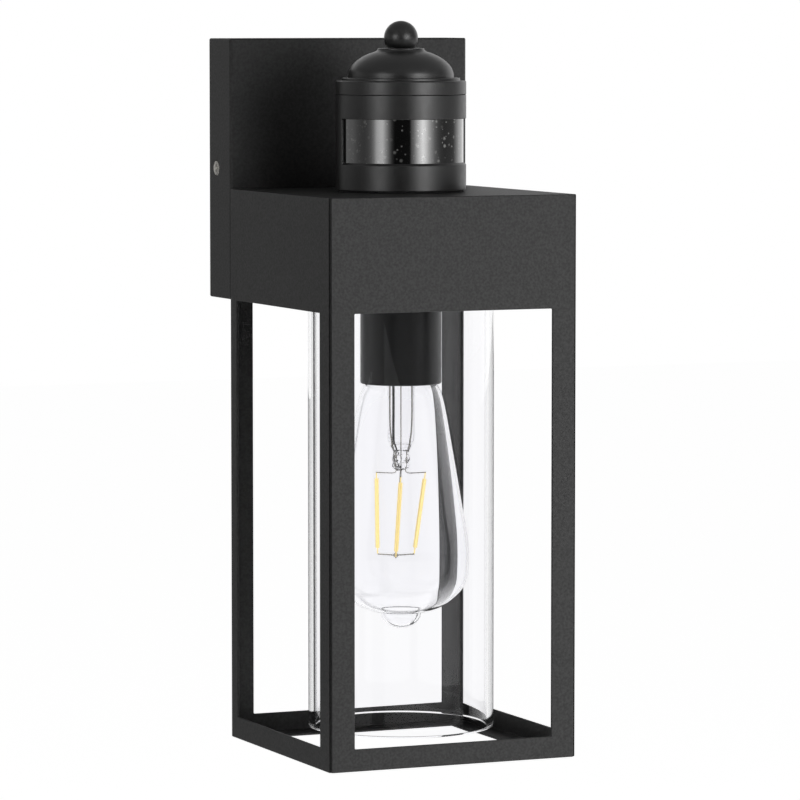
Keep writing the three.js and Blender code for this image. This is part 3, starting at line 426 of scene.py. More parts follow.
def eased(corners: Sequence[tuple[float, float, float]], steps: int = 4) -> list[Point]:
    """Close an outline and round its corners.

    Args:
        corners: Radius, height and corner radius of each corner.
        steps: How many flats a rounded corner has.

    Returns:
        The outline's points, the first one repeated at the end.
    """
    points: list[Point] = []
    for i, (x, z, radius) in enumerate(corners):
        if not radius:
            points.append((x, z))
            continue
        here = Vector((x, z))
        before = (Vector(corners[i - 1][:2]) - here).normalized()
        after = (Vector(corners[(i + 1) % len(corners)][:2]) - here).normalized()
        half = before.angle(after) / 2
        centre = here + (before + after).normalized() * radius / math.sin(half)
        start = here + before * radius / math.tan(half) - centre
        end = here + after * radius / math.tan(half) - centre
        first = math.degrees(math.atan2(start.y, start.x))
        sweep = math.degrees(math.atan2(end.y, end.x)) - first
        sweep = (sweep + 180) % 360 - 180
        points += arc(tuple(centre), radius, first, first + sweep, steps)
    return [*points, points[0]]


def between(t: float, a: float, b: float, c: float, d: float) -> float:
    """Give the value at a share t of the way from b to c on a smooth curve through a, b, c and d."""
    square, cube = 2 * a - 5 * b + 4 * c - d, 3 * b - a - 3 * c + d
    return 0.5 * (2 * b + (c - a) * t + square * t**2 + cube * t**3)


def curved(points: Sequence[Point], steps: int) -> list[Point]:
    """Run a smooth curve through points.

    Args:
        points: The points.
        steps: How many flats lie between two points.

    Returns:
        The curve's points.
    """
    ends = [points[0], *points, points[-1]]
    made: list[Point] = []
    for near in zip(ends, ends[1:], ends[2:], ends[3:]):
        made += [tuple(between(step / steps, *axis) for axis in zip(*near)) for step in range(steps)]
    return [*made, points[-1]]


def roll_thread(piece: Piece, low: float, high: float, pitch: float, depth: float) -> None:
    """Roll a round-bottomed thread into a spun piece that stands round the Z axis.

    Args:
        piece: The piece, finely divided between the two heights.
        low: Where the thread ends, in millimetres.
        high: Where the thread starts, in millimetres.
        pitch: The thread's pitch in millimetres.
        depth: How far it moves the wall inwards, in millimetres.
    """
    for corner in piece.data.vertices:
        x, y, z = corner.co / MM
        radius = math.hypot(x, y)
        fade = min(1.0, max(0.0, min(z - low, high - z) / pitch))
        wave = 0.5 - 0.5 * math.cos(math.tau * z / pitch - math.atan2(y, x))
        if radius and fade:
            share = 1 - depth * fade * wave / radius
            corner.co.x *= share
            corner.co.y *= share


# Finishes


def linear(code: str) -> tuple[float, float, float, float]:
    """Turn a colour as it is written for a screen into Blender's own numbers.

    Args:
        code: Six hexadecimal digits.

    Returns:
        The linear colour, with an alpha of 1.
    """
    shares = [int(code[i : i + 2], 16) / 255 for i in (0, 2, 4)]
    knee = 0.04045
    parts = [s / 12.92 if s <= knee else ((s + 0.055) / 1.055) ** 2.4 for s in shares]
    return (*parts, 1.0)


class Nodes:
    """A tree of shader nodes, added and joined by short calls."""

    def __init__(self, tree: bpy.types.NodeTree) -> None:
        """Work on the tree of a material or of the world."""
        self.tree = tree

    def feed(self, socket: Output, value: Any) -> None:
        """Set a socket to a value, or link another socket to it.

        Args:
            socket: The input.
            value: A number, a colour or an output.
        """
        if isinstance(value, Output):
            self.tree.links.new(value, socket)
        else:
            socket.default_value = value

    def node(self, kind: str, inputs: dict[Any, Any] | None = None, **settings: Any) -> bpy.types.Node:
        """Add a node.

        Args:
            kind: The node's type.
            inputs: Values or outputs for its inputs, by name or number.
            **settings: The node's own settings.

        Returns:
            The new node.
        """
        made = self.tree.nodes.new(kind)
        for name, value in settings.items():
            setattr(made, name, value)
        for name, value in (inputs or {}).items():
            self.feed(made.inputs[name], value)
        return made

    def range(self, value: Any, old: Point, new: Point = (0.0, 1.0)) -> Output:
        """Map a value from an old range to a new one, held at both ends."""
        inputs = {0: value, 1: old[0], 2: old[1], 3: new[0], 4: new[1]}
        return self.node("ShaderNodeMapRange", inputs).outputs[0]

    def combined(self, operation: str, first: Any, second: Any) -> Output:
        """Combine two numbers by one of Blender's operations."""
        return self.node("ShaderNodeMath", {0: first, 1: second}, operation=operation).outputs[0]

    def vector(self, operation: str, first: Any, second: Any = ORIGIN) -> bpy.types.Node:
        """Combine two vectors by one of Blender's operations."""
        return self.node("ShaderNodeVectorMath", {0: first, 1: second}, operation=operation)

    def between(self, share: Any, first: Any, second: Any) -> Output:
        """Mix two numbers, by the share of the second one."""
        return self.node("ShaderNodeMix", {0: share, 2: first, 3: second}).outputs[0]

    def mixed(self, share: Any, first: Any, second: Any) -> Output:
        """Mix two colours, by the share of the second one."""
        return self.node("ShaderNodeMix", {0: share, 6: first, 7: second}, data_type="RGBA").outputs[2]

    def along(self, place_of: Any, direction: Place) -> Output:
        """Measure how far a place lies along a direction."""
        return self.vector("DOT_PRODUCT", place_of, direction).outputs["Value"]


class Shader(Nodes):
    """A material's nodes."""

    def __init__(self, name: str) -> None:
        """Start a material with its Principled shader.

        Args:
            name: The material's name.
        """
        self.material = bpy.data.materials.new(name)
        self.material.use_nodes = True
        super().__init__(self.material.node_tree)
        self.surface = self.tree.nodes["Principled BSDF"]
        self.object_place = self.node("ShaderNodeTexCoord").outputs["Object"]

    def set(self, **values: Any) -> None:
        """Feed the Principled shader's inputs, named with underscores for spaces."""
        for name, value in values.items():
            self.feed(self.surface.inputs[name.replace("_", " ")], value)

    def noise(self, size: float, detail: float = 2.0) -> Output:
        """Add a noise pattern about 0.5, with features of a size and finer octaves."""
        inputs = {"Vector": self.object_place, "Scale": 1 / (size * MM), "Detail": detail}
        return self.node("ShaderNodeTexNoise", inputs).outputs["Fac"]

    def cells(self, size: float, distance: str = "EUCLIDEAN") -> bpy.types.NodeOutputs:
        """Add a pattern of cells of a size, and give its Distance and Color outputs."""
        inputs = {"Vector": self.object_place, "Scale": 1 / (size * MM)}
        return self.node("ShaderNodeTexVoronoi", inputs, distance=distance).outputs

    def relief(self, height: Any, depth: float) -> None:
        """Raise the surface by a height pattern from 0 to 1, as deep as given in millimetres."""
        inputs = {"Strength": 1.0, "Distance": depth * MM, "Height": height}
        self.set(Normal=self.node("ShaderNodeBump", inputs).outputs[0])

    def glow_only(self, strength: Any, base: float = 0.0) -> None:
        """Make the surface dull, with a base grey, and let it send out white light."""
        self.set(Base_Color=(base, base, base, 1), Specular_IOR_Level=0.0, Roughness=1.0)
        self.set(Emission_Color=(1, 1, 1, 1), Emission_Strength=strength)


@dataclass(frozen=True)
class Finish:
    """A plain finish: two close colours in a fine mottle, uneven gloss and a fine relief.

    Attributes:
        slot: The material slot's name, which starts the material's name.
        colour: The main colour.
        other: The second colour of the mottle.
        roughness: The least and the greatest roughness.
        metallic: How metallic it is.
        specular: The shader's specular level.
        mottle: The size of the mottle in millimetres.
        grain: The size of the relief in millimetres.
        depth: The depth of the relief in millimetres.
        wear: The values of the gloss's pattern at the least and the greatest roughness.
    """

    slot: str
    colour: str
    other: str
    roughness: Point
    metallic: float = 0.0
    specular: float = 0.5
    mottle: float = 3.0
    grain: float = 0.8
    depth: float = 0.01
    wear: Point = (0.3, 0.7)

    def name(self) -> str:
        """Give the material's name."""
        return f"{self.slot}_{self.colour}"

    def material(self) -> bpy.types.Material:
        """Make the material, or find the one that was made.

        Returns:
            The material.
        """
        found = bpy.data.materials.get(self.name())
        if found:
            return found
        shader = Shader(self.name())
        shader.set(Metallic=self.metallic, Specular_IOR_Level=self.specular)
        self.dress(shader)
        return shader.material

    def tinted(self, shader: Shader, share: Output) -> Output:
        """Mix the two colours by a pattern."""
        return shader.mixed(share, linear(self.colour), linear(self.other))

    def coat(self, shader: Shader, colour: Output, gloss: Output) -> None:
        """Set the base colour, and the roughness by a pattern."""
        shader.set(Base_Color=colour, Roughness=shader.range(gloss, self.wear, self.roughness))

    def dress(self, shader: Shader) -> None:
        """Add the finish's nodes."""
        self.coat(shader, self.tinted(shader, shader.noise(self.mottle)), shader.noise(self.mottle * 2, 3))
        shader.relief(shader.noise(self.grain, 1), self.depth)


@dataclass(frozen=True)
class PowderCoat(Finish):
    """Baked powder coat: a fine orange peel with tiny pits, and a soft satin gloss.

    Attributes:
        spread: The values of the mottle's pattern that show the two plain colours.
        pit_share: The size of the pits as a share of the grain.
        pit_height: How high the ground between the pits is, as a share of the depth.
    """

    spread: Point = (0.35, 0.65)
    pit_share: float = 0.7
    pit_height: float = 0.5

    def dress(self, shader: Shader) -> None:
        """Add the orange peel and the pits.

        Args:
            shader: The material's nodes.
        """
        peel = shader.noise(self.grain, 2)
        self.coat(shader, self.tinted(shader, shader.range(shader.noise(self.mottle, 3), self.spread)), peel)
        ground = (0.0, self.pit_height)
        pits = shader.range(shader.cells(self.grain * self.pit_share)["Distance"], ground, ground)
        shader.relief(shader.combined("ADD", peel, pits), self.depth)


@dataclass(frozen=True)
class SpeckledLens(Finish):
    """Glossy smoked plastic with pale round specks under its surface.

    Attributes:
        specks: For each size of speck, the cell in millimetres that holds one, and the share of
            cells that stay empty.
        speck_colour: The specks' colour.
        speck_edge: How far from its cell's point a speck is whole and how far it ends, in cells.
        evenness: The power that the specks' strengths are raised to; less is more even.
        coat_roughness: How rough the clear coat is.
        coat_ior: The clear coat's index of refraction.
    """

    specks: tuple[Point, ...] = ((3.3, 0.45), (1.8, 0.65))
    speck_colour: str = "8e8e8c"
    speck_edge: Point = (0.08, 0.32)
    evenness: float = 0.3
    coat_roughness: float = 0.05
    coat_ior: float = 1.8

    def dress(self, shader: Shader) -> None:
        """Add the specks and a faint ripple.

        Args:
            shader: The material's nodes.
        """
        colour = self.tinted(shader, shader.noise(self.mottle))
        for size, empty in self.specks:
            cells = shader.cells(size)
            chosen = shader.node("ShaderNodeSeparateColor", {0: cells["Color"]}).outputs[0]
            few = shader.combined("POWER", shader.range(chosen, (empty, 1.0)), self.evenness)
            small = shader.range(cells["Distance"], self.speck_edge, (1.0, 0.0))
            share = shader.combined("MULTIPLY", few, small)
            colour = shader.mixed(share, colour, linear(self.speck_colour))
        self.coat(shader, colour, shader.noise(self.mottle, 3))
        shader.set(Coat_Weight=1.0, Coat_Roughness=self.coat_roughness, Coat_IOR=self.coat_ior)
        shader.relief(shader.noise(self.grain, 1), self.depth)


@dataclass(frozen=True)
class ClearGlass(Finish):
    """Clear glass, smooth from the fire, with a trace of unevenness in its tint and gloss.

    Attributes:
        ior: The glass's index of refraction.
        shine: The tint of its reflections, which tones them down.
    """

    wear: Point = (0.4, 0.6)
    ior: float = 1.47
    shine: str = "a6a6a6"

    def dress(self, shader: Shader) -> None:
        """Let light through, and add the uneven tint and gloss."""
        shader.set(Transmission_Weight=1.0, IOR=self.ior, Specular_Tint=linear(self.shine))
        self.coat(shader, self.tinted(shader, shader.noise(self.mottle)), shader.noise(self.mottle))


@dataclass(frozen=True)
class Phosphor(Finish):
    """The translucent coating of a filament, which lets light through, with a faint painted glow: the bulb is
    unlit, and the glow stands in for light that the shade glass's shadow keeps off.

    Attributes:
        passed: The share of the light that goes through.
        ior: The coating's index of refraction.
        glow: The radiance of its painted glow, where 1 is plain white.
    """

    passed: float = 0.9
    ior: float = 1.2
    glow: float = 0.2

    def dress(self, shader: Shader) -> None:
        """Add the coating's mottle, its translucency and its painted glow.

        Args:
            shader: The material's nodes.
        """
        super().dress(shader)
        shader.set(Transmission_Weight=self.passed, IOR=self.ior)
        # Painted glow: emission on an unlit part, painted light that brightens the filaments inside the shade
        # glass's shadow.
        shader.set(Emission_Color=linear(self.other), Emission_Strength=self.glow)


@dataclass(frozen=True)
class Foam(Finish):
    """Closed-cell foam with a pitted surface, its pits painted darker as painted shade."""

    wear: Point = (0.0, 0.6)

    def dress(self, shader: Shader) -> None:
        """Add the cells, with the main colour on their raised borders and the darker second colour in their
        pits as painted shade.

        Args:
            shader: The material's nodes.
        """
        cells = shader.cells(self.grain)["Distance"]
        # Painted shade: the pits, where the relief is lowest, take the darker second colour.
        self.coat(shader, shader.mixed(cells, linear(self.other), linear(self.colour)), cells)
        shader.relief(cells, self.depth)


@dataclass(frozen=True)
class BrushedMetal(Finish):
    """Bare or plated metal with a fine grain and a few dull patches."""

    wear: Point = (0.15, 0.4)

    def dress(self, shader: Shader) -> None:
        """Add the grain and the dull patches.

        Args:
            shader: The material's nodes.
        """
        grain, patches = shader.noise(self.grain, 3), shader.noise(self.mottle, 4)
        self.coat(shader, self.tinted(shader, patches), shader.combined("MULTIPLY", grain, patches))
        shader.relief(grain, self.depth)


@dataclass(frozen=True)
class CircuitBoard(Finish):
    """Green board lacquer with the faint relief of copper tracks.

    Attributes:
        track: The size of the fields between tracks, in millimetres.
        track_edge: How far from a field's middle a track starts and is full, in fields.
    """

    track: float = 2.6
    track_edge: Point = (0.34, 0.4)

    def dress(self, shader: Shader) -> None:
        """Add the tracks and the lacquer.

        Args:
            shader: The material's nodes.
        """
        track = shader.range(shader.cells(self.track, "CHEBYCHEV")["Distance"], self.track_edge)
        self.coat(shader, self.tinted(shader, track), shader.noise(self.mottle))
        shader.relief(track, self.depth)


POWDER = PowderCoat(
    "powder_coat", "2d2d2d", "393939", (0.46, 0.58), specular=0.3, mottle=1.1, grain=0.9, depth=0.03
)
SATIN = Finish(
    "satin_black", "121212", "161616", (0.36, 0.44), specular=0.4, mottle=2.0, grain=1.4, depth=0.006
)
MOULDED = Finish(
    "moulded_black", "1e1e1e", "242424", (0.32, 0.38), specular=0.8, mottle=1.5, grain=0.6, depth=0.008
)
LENS = SpeckledLens("smoked_lens", "080808", "0a0a0a", (0.1, 0.14), mottle=6.0, grain=8.0, depth=0.004)
GLASS = ClearGlass("clear_glass", "ffffff", "fdfdff", (0.0, 0.004), specular=0.25, mottle=30.0)
ZINC = BrushedMetal("zinc_steel", "b4b7bb", "9fa2a6", (0.28, 0.5), 1.0, mottle=5.0, grain=0.7, depth=0.006)
BRASS = BrushedMetal("brass", "c9a45c", "a9833f", (0.25, 0.45), 1.0, mottle=4.0, grain=0.6, depth=0.005)
NICKEL = BrushedMetal("nickel", "c8c6c0", "aeaba4", (0.2, 0.38), 1.0, mottle=3.0, grain=0.5, depth=0.004)
PORCELAIN = Finish("porcelain", "e9e6dd", "dedacf", (0.2, 0.4), mottle=8.0, grain=2.5, depth=0.02)
RUBBER = Finish("black_rubber", "1c1c1c", "161616", (0.75, 0.9), mottle=2.0, grain=0.4, depth=0.02)
SILICONE = Finish("pale_silicone", "d8d8d4", "cdcdc8", (0.4, 0.6), mottle=4.0, grain=0.8, depth=0.012)
# The foam's darker second colour is painted shade in the pits of its cells.
FOAM = Foam("black_foam", "262626", "101010", (0.85, 0.98), grain=0.9, depth=0.25)
BOARD = CircuitBoard("board_green", "1f5a34", "2b7344", (0.3, 0.45), mottle=4.0, depth=0.04)
VITRITE = Finish("vitrite", "141416", "1d1d22", (0.12, 0.25), mottle=3.0, grain=1.5, depth=0.02)
# The phosphor finish carries a faint painted glow; the filaments and the photocell wear it.
PHOSPHOR = Phosphor(
    "phosphor", "fff2bc", "ffe698", (0.4, 0.55), specular=0.3, mottle=0.6, grain=0.35, depth=0.02
)
COMPONENT = Finish("component_black", "20232a", "181a20", (0.4, 0.55), mottle=2.0, grain=0.5, depth=0.01)
LEAD_BLACK = Finish("insulation_black", "202020", "191919", (0.4, 0.5), mottle=3.0, grain=0.6, depth=0.01)
LEAD_WHITE = Finish("insulation_white", "dedbd2", "d3cfc4", (0.4, 0.5), mottle=3.0, grain=0.6, depth=0.01)
LEAD_RED = Finish("insulation_red", "8c2f28", "7c2620", (0.4, 0.5), mottle=3.0, grain=0.6, depth=0.01)


def fit(
    piece: Piece,
    finish: Finish,
    body: Body,
    *nodes: str,
    where: Place = ORIGIN,
    turn: Place = ORIGIN,
    angle: float = SHARP_SHADE,
) -> None:
    """Put a piece in its place, shade it, give it its material and its body, and hide the CAD nodes that it
    replaces.

    Args:
        piece: The finished piece, modelled round the origin.
        finish: Its finish.
        body: The body that it moves with.
        *nodes: The nodes that it replaces.
        where: Where its origin goes, in millimetres.
        turn: Its turns about X, Y and Z, in degrees.
        angle: The least turn of an edge that stays sharp, in degrees.
    """
    place(piece, where, turn)
    bpy.ops.object.shade_smooth_by_angle(angle=math.radians(angle))
    modify(piece, "WEIGHTED_NORMAL", keep_sharp=True)
    piece.data.materials.clear()
    piece.data.materials.append(finish.material())
    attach(piece, body.value)
    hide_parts(*nodes)
    faces = len(piece.data.polygons)
    LOG.info("%s on %s: %d faces, for %s", piece.name, body.value, faces, ", ".join(nodes))


def dress_nodes(finish: Finish, *nodes: str) -> None:
    """Give CAD nodes that keep their shape a finish.

    Args:
        finish: The finish.
        *nodes: The nodes' names.
    """
    for name in nodes:
        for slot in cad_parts[name].material_slots:
            slot.material = finish.material()
        LOG.info("%s keeps its CAD shape, in %s", name, finish.slot)


# Sub-assemblies


@dataclass
class CrossHeadScrew:
    """A pan-head screw with a cross recess and a threaded shank.

    Attributes:
        recess_reach, recess_width: The cross's reach and width, as shares of the head's radius.
        recess_depth: The cross's depth, as a share of the head's height.
        recess_taper: The width of the cross's floor, as a share of its cutter's mouth.
        recess_overrun: How far the cutter stands out, as a share of the head's height.
        edge_share: The height of the head's edge, as a share of the head's.
        foot_share: The radius of the head's foot, as a share of the head's.
        groove_shares: Where a thread's groove starts, is deep, still is and ends, in pitches.
    """

    head_radius: float
    head_height: float
    shank_radius: float
    shank_length: float
    pitch: float = 0.8
    thread_depth: float = 0.35
    recess_reach: float = 0.62
    recess_width: float = 0.3
    recess_depth: float = 0.62
    recess_taper: float = 0.55
    recess_overrun: float = 0.3
    edge_share: float = 0.38
    foot_share: float = 0.96
    groove_shares: tuple[float, ...] = (0.15, 0.5, 0.6, 0.95)

    def face(self) -> float:
        """Give the height of the head's outer face."""
        return self.head_height

    def head(self) -> list[Point]:
        """Draw the head from the top down.

        Returns:
            The outline's points, down to the shank.
        """
        edge = self.head_height * self.edge_share
        dome = oval((0, edge), (self.head_radius, self.head_height - edge), 90, 0, 10)
        foot = self.head_radius * self.foot_share
        return [*dome, (self.head_radius, edge / 3), (foot, 0), (self.shank_radius, 0)]

    def outline(self) -> list[Point]:
        """Draw the head and the grooved shank, from the top down.

        Returns:
            The outline's points.
        """
        points = self.head()
        top = points[-1][1]
        crest, root = self.shank_radius, self.shank_radius - self.thread_depth
        for turn in range(int((self.shank_length + top - crest / 2) / self.pitch)):
            start = top - turn * self.pitch
            groove = zip((crest, root, root, crest), self.groove_shares)
            points += [(radius, start - self.pitch * share) for radius, share in groove]
        return [*points, (crest / 2, -self.shank_length), (0, -self.shank_length)]

    def recess(self, along_x: bool) -> Piece:
        """Make one blade of the cross that is cut into the head.

        Args:
            along_x: Whether the blade lies along X or along Y.

        Returns:
            The blade, narrower at its foot.
        """
        reach, half = self.head_radius * self.recess_reach, self.head_radius * self.recess_width / 2
        x, y = (reach, half) if along_x else (half, reach)
        low = self.face() - self.head_height * self.recess_depth
        high = self.face() + self.head_height * self.recess_overrun
        blade = block("blade", (-x, -y, low), (x, y, high))
        with editing(blade):
            select(blade, Pick.FACES, lambda middle, normal: normal.z < -STEEP)
            bpy.ops.transform.resize(value=(self.recess_taper, self.recess_taper, 1))
        return blade

    def build(self, name: str) -> Piece:
        """Spin the screw and cut its cross.

        Args:
            name: The piece's name.

        Returns:
            The screw, with its head standing on z = 0.
        """
        screw = spun(name, self.outline(), MEDIUM)
        for along_x in (True, False):
            carve(screw, [self.recess(along_x)])
        return screw


@dataclass
class FlatHeadScrew(CrossHeadScrew):
    """A countersunk screw with a cross recess, its flat face on z = 0."""

    rim_share: float = 0.15
    rim_ease: float = 0.2

    def face(self) -> float:
        """Give the height of the head's outer face."""
        return 0.0

    def head(self) -> list[Point]:
        """Draw the flat face and the cone below it.

        Returns:
            The outline's points, down to the shank.
        """
        ease, rim = self.rim_ease, -self.head_height * self.rim_share
        face = arc((self.head_radius - ease, -ease), ease, 90, 0, 4)
        return [(0, 0), *face, (self.head_radius, rim), (self.shank_radius, -self.head_height)]


@dataclass
class WallSide:
    """The back pan with its seal, the wall bracket, and the screws and grommet between them.

    Attributes:
        grommet: The radii of the grommet's bore, neck and flange, and its flange's thickness.
    """

    width: float = 119.0
    height: float = 120.0
    front: float = -28.0
    rim: float = -1.6
    thickness: float = 1.2
    fold: float = 0.9
    seam_width: float = 1.6
    seam_depth: float = 1.3
    rim_ease: float = 0.25
    hole_gap: float = 0.25
    hole_reach: float = 4.0
    side_screw: FlatHeadScrew = field(default_factory=lambda: FlatHeadScrew(3.4, 1.7, 2.0, 10.0))
    side_screw_y: float = -10.0
    body_screw: CrossHeadScrew = field(default_factory=lambda: CrossHeadScrew(4.6, 3.0, 2.5, 9.0))
    body_screw_gap: float = 0.1
    earth_screw: CrossHeadScrew = field(default_factory=lambda: CrossHeadScrew(3.5, 2.0, 1.9, 1.5, 0.6, 0.25))
    earth_screw_place: tuple[float, float, float] = (-15.0, -1.6, 0.0)
    grommet: tuple[float, float, float, float] = (4.0, 6.0, 8.0, 1.5)

    def build(self) -> None:
        """Build and dress every piece of the wall side."""
        self.build_pan()
        self.build_screws()
        self.build_grommet()
        dress_nodes(ZINC, "wall_bracket", "body_nut_left", "body_nut_right")
        dress_nodes(FOAM, "pan_foam_seal")

    def build_pan(self) -> None:
        """Fold the pan from one sheet, open to the wall, and drill it."""
        x, z = self.width / 2, self.height / 2
        pan = block("pan_sheet", (-x, self.front, -z), (x, self.rim, z))
        with editing(pan):
            select(pan, Pick.FACES, lambda middle, normal: normal.y > STEEP)
            bpy.ops.mesh.delete(type="ONLY_FACE")
        fold_sheet(pan, self.thickness, self.is_fold, self.fold)
        ease_edges(pan, self.rim_ease)
        seams = [seam((side * x, self.front), -z, z, self.seam_width, self.seam_depth) for side in (-1, 1)]
        carve(pan, [*shared_holes(), *self.side_holes(), *seams])
        fit(pan, POWDER, Body.LANTERN, "back_pan")

    def is_fold(self, middle: Vector, along: Vector) -> bool:
        """Say whether an edge with this middle is one of the pan's outer folds."""
        return on_fold(abs(middle.x) - self.width / 2, abs(middle.z) - self.height / 2, middle.y - self.front)

    def side_holes(self) -> list[Piece]:
        """Make the cutters of the countersunk holes for the side screws.

        Returns:
            The two cutters.
        """
        gap, reach = self.hole_gap, self.hole_reach
        head, shank = self.side_screw.head_radius + gap, self.side_screw.shank_radius + gap
        cone = [(head, -gap), (shank, -self.side_screw.head_height)]
        outline = [(0, reach), (head, reach), *cone, (shank, -reach), (0, -reach)]
        sides = [((side * self.width / 2, self.side_screw_y, 0), (0, side * 90, 0)) for side in (-1, 1)]
        return [place(spun("hole", outline, MEDIUM), where, turn) for where, turn in sides]

    def build_screws(self) -> None:
        """Build the side screws, the body screws and the earth screw."""
        for name, side in (("left", -1), ("right", 1)):
            screw = self.side_screw.build(f"side_screw_{name}_cross")
            spot = (side * self.width / 2, self.side_screw_y, 0)
            fit(screw, NICKEL, Body.LANTERN, f"side_screw_{name}", where=spot, turn=(0, side * 90, 0))
            screw = self.body_screw.build(f"body_screw_{name}_cross")
            spot = (side * BODY_SCREW_X, self.front + self.thickness + self.body_screw_gap, BODY_SCREW_Z)
            fit(screw, ZINC, Body.LANTERN, f"body_screw_{name}", where=spot, turn=(-90, 0, 0))
        screw = self.earth_screw.build("earth_screw_cross")
        fit(screw, BRASS, Body.LANTERN, "earth_screw", where=self.earth_screw_place, turn=(90, 0, 0))

    def build_grommet(self) -> None:
        """Spin the rubber grommet that carries the leads into the header."""
        bore, neck, flange, lip = self.grommet
        start, end = (corner.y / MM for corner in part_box("lead_grommet"))
        outline = eased([
            (bore, end, 0.4), (flange, end, 0.5), (flange, end - lip, 0.3), (neck, end - lip, 0.2),
            (neck, start + lip, 0.2), (flange, start + lip, 0.3), (flange, start, 0.7), (bore, start, 0.4),
        ])
        grommet = spun("lead_grommet_rubber", outline, MEDIUM)
        fit(grommet, RUBBER, Body.LANTERN, "lead_grommet", where=(0, 0, GROMMET_Z), turn=(-90, 0, 0))


def shared_holes() -> list[Piece]:
    """Make the cutters of the holes that the pan and the header share.

    Returns:
        The cutters of two screw holes and of the grommet's hole, along Y.
    """
    near, far = -34.0, -23.0
    screw_hole, grommet_hole = 2.75, 6.1
    holes = [(screw_hole, side * BODY_SCREW_X, BODY_SCREW_Z) for side in (-1, 1)]
    holes.append((grommet_hole, 0, GROMMET_Z))
    return [rod("hole", radius, (x, near, z), (x, far, z)) for radius, x, z in holes]


def seam(corner: Point, low: float, high: float, width: float, depth: float) -> Piece:
    """Make the cutter of the open seam down an upright corner where two sheets meet.

    Args:
        corner: The corner's X and Y.
        low: The height of its foot.
        high: The height of its top.
        width: The seam's width.
        depth: How far it reaches in from the sharp corner.

    Returns:
        The cutter, a bar on the corner's diagonal.
    """
    margin = 2.0
    x, y = corner
    bar = block("seam", (-depth, -width / 2, low - margin), (depth, width / 2, high + margin))
    return place(bar, (x, y, 0), (0, 0, 45 if x * (y - AXIS_Y) > 0 else -45))


@dataclass
class BodySheet:
    """The header, the four corner posts and the bottom frame, folded from one sheet."""

    width: float = 120.0
    depth: float = 119.0
    leg: float = 12.0
    rear_leg: float = 11.0
    rear_side_leg: float = 8.0
    thickness: float = 1.2
    fold: float = 0.45
    seam_width: float = 1.5
    seam_depth: float = 1.7
    rim_ease: float = 0.5
    stud_hole: float = 6.25
    stud_reach: float = 6.0

    def in_window(self, middle: Vector, normal: Vector) -> bool:
        """Say whether a face fills one of the cage's windows or its bottom opening.

        Args:
            middle: The face's middle in millimetres.
            normal: The face's normal.

        Returns:
            Whether the face is to be cut away.
        """
        depth = middle.y - AXIS_Y
        front = self.leg - self.depth / 2
        if normal.z < -STEEP:
            return abs(middle.x) < self.width / 2 - self.leg and front < depth < -front
        if abs(normal.z) > STEEP or not RAIL_TOP < middle.z < HEADER_BOTTOM:
            return False
        if abs(normal.x) > STEEP:
            return front < depth < self.depth / 2 - self.rear_side_leg
        leg = self.leg if normal.y < 0 else self.rear_leg
        return abs(middle.x) < self.width / 2 - leg

    def is_fold(self, middle: Vector, along: Vector) -> bool:
        """Say whether an edge with this middle is an outer fold."""
        to_end = min(abs(middle.z - HEADER_TOP), abs(middle.z - CAGE_BOTTOM))
        return on_fold(abs(middle.x) - self.width / 2, abs(middle.y - AXIS_Y) - self.depth / 2, to_end)

    def cuts(self) -> list[tuple[Place, Place]]:
        """Lay the planes that part the windows from the legs and rails.

        Returns:
            A point and a normal for each plane.
        """
        x, y = self.width / 2, self.depth / 2
        planes = [((0, 0, height), (0, 0, 1)) for height in (HEADER_BOTTOM, RAIL_TOP)]
        for side in (-1, 1):
            planes += [((side * (x - leg), 0, 0), (1, 0, 0)) for leg in (self.leg, self.rear_leg)]
        from_axis = (self.leg - y, y - self.leg, y - self.rear_side_leg)
        return planes + [((0, AXIS_Y + depth, 0), (0, 1, 0)) for depth in from_axis]

    def build(self) -> None:
        """Cut and fold the sheet, drill it and dress it."""
        x, y = self.width / 2, self.depth / 2
        sheet = block("body_sheet", (-x, AXIS_Y - y, CAGE_BOTTOM), (x, AXIS_Y + y, HEADER_TOP))
        with editing(sheet):
            for point, normal in self.cuts():
                bpy.ops.mesh.select_all(action="SELECT")
                bpy.ops.mesh.bisect(plane_co=metres(point), plane_no=normal)
            select(sheet, Pick.FACES, self.in_window)
            bpy.ops.mesh.delete(type="FACE")
        fold_sheet(sheet, self.thickness, self.is_fold, self.fold)
        ease_edges(sheet, self.rim_ease, 3)
        low, high = HEADER_TOP - self.stud_reach, HEADER_TOP + self.stud_reach
        stud = rod("hole", self.stud_hole, (0, AXIS_Y, low), (0, AXIS_Y, high))
        corners = [(a * x, AXIS_Y + b * y) for a in (-1, 1) for b in (-1, 1)]
        size = (CAGE_BOTTOM, HEADER_TOP, self.seam_width, self.seam_depth)
        seams = [seam(corner, *size) for corner in corners]
        carve(sheet, [stud, *shared_holes(), *seams])
        posts = [f"post_{end}_{side}" for end in ("front", "rear") for side in ("left", "right")]
        rails = [f"bottom_rail_{side}" for side in ("front", "right", "rear", "left")]
        fit(sheet, POWDER, Body.LANTERN, "header_shell", *posts, *rails)


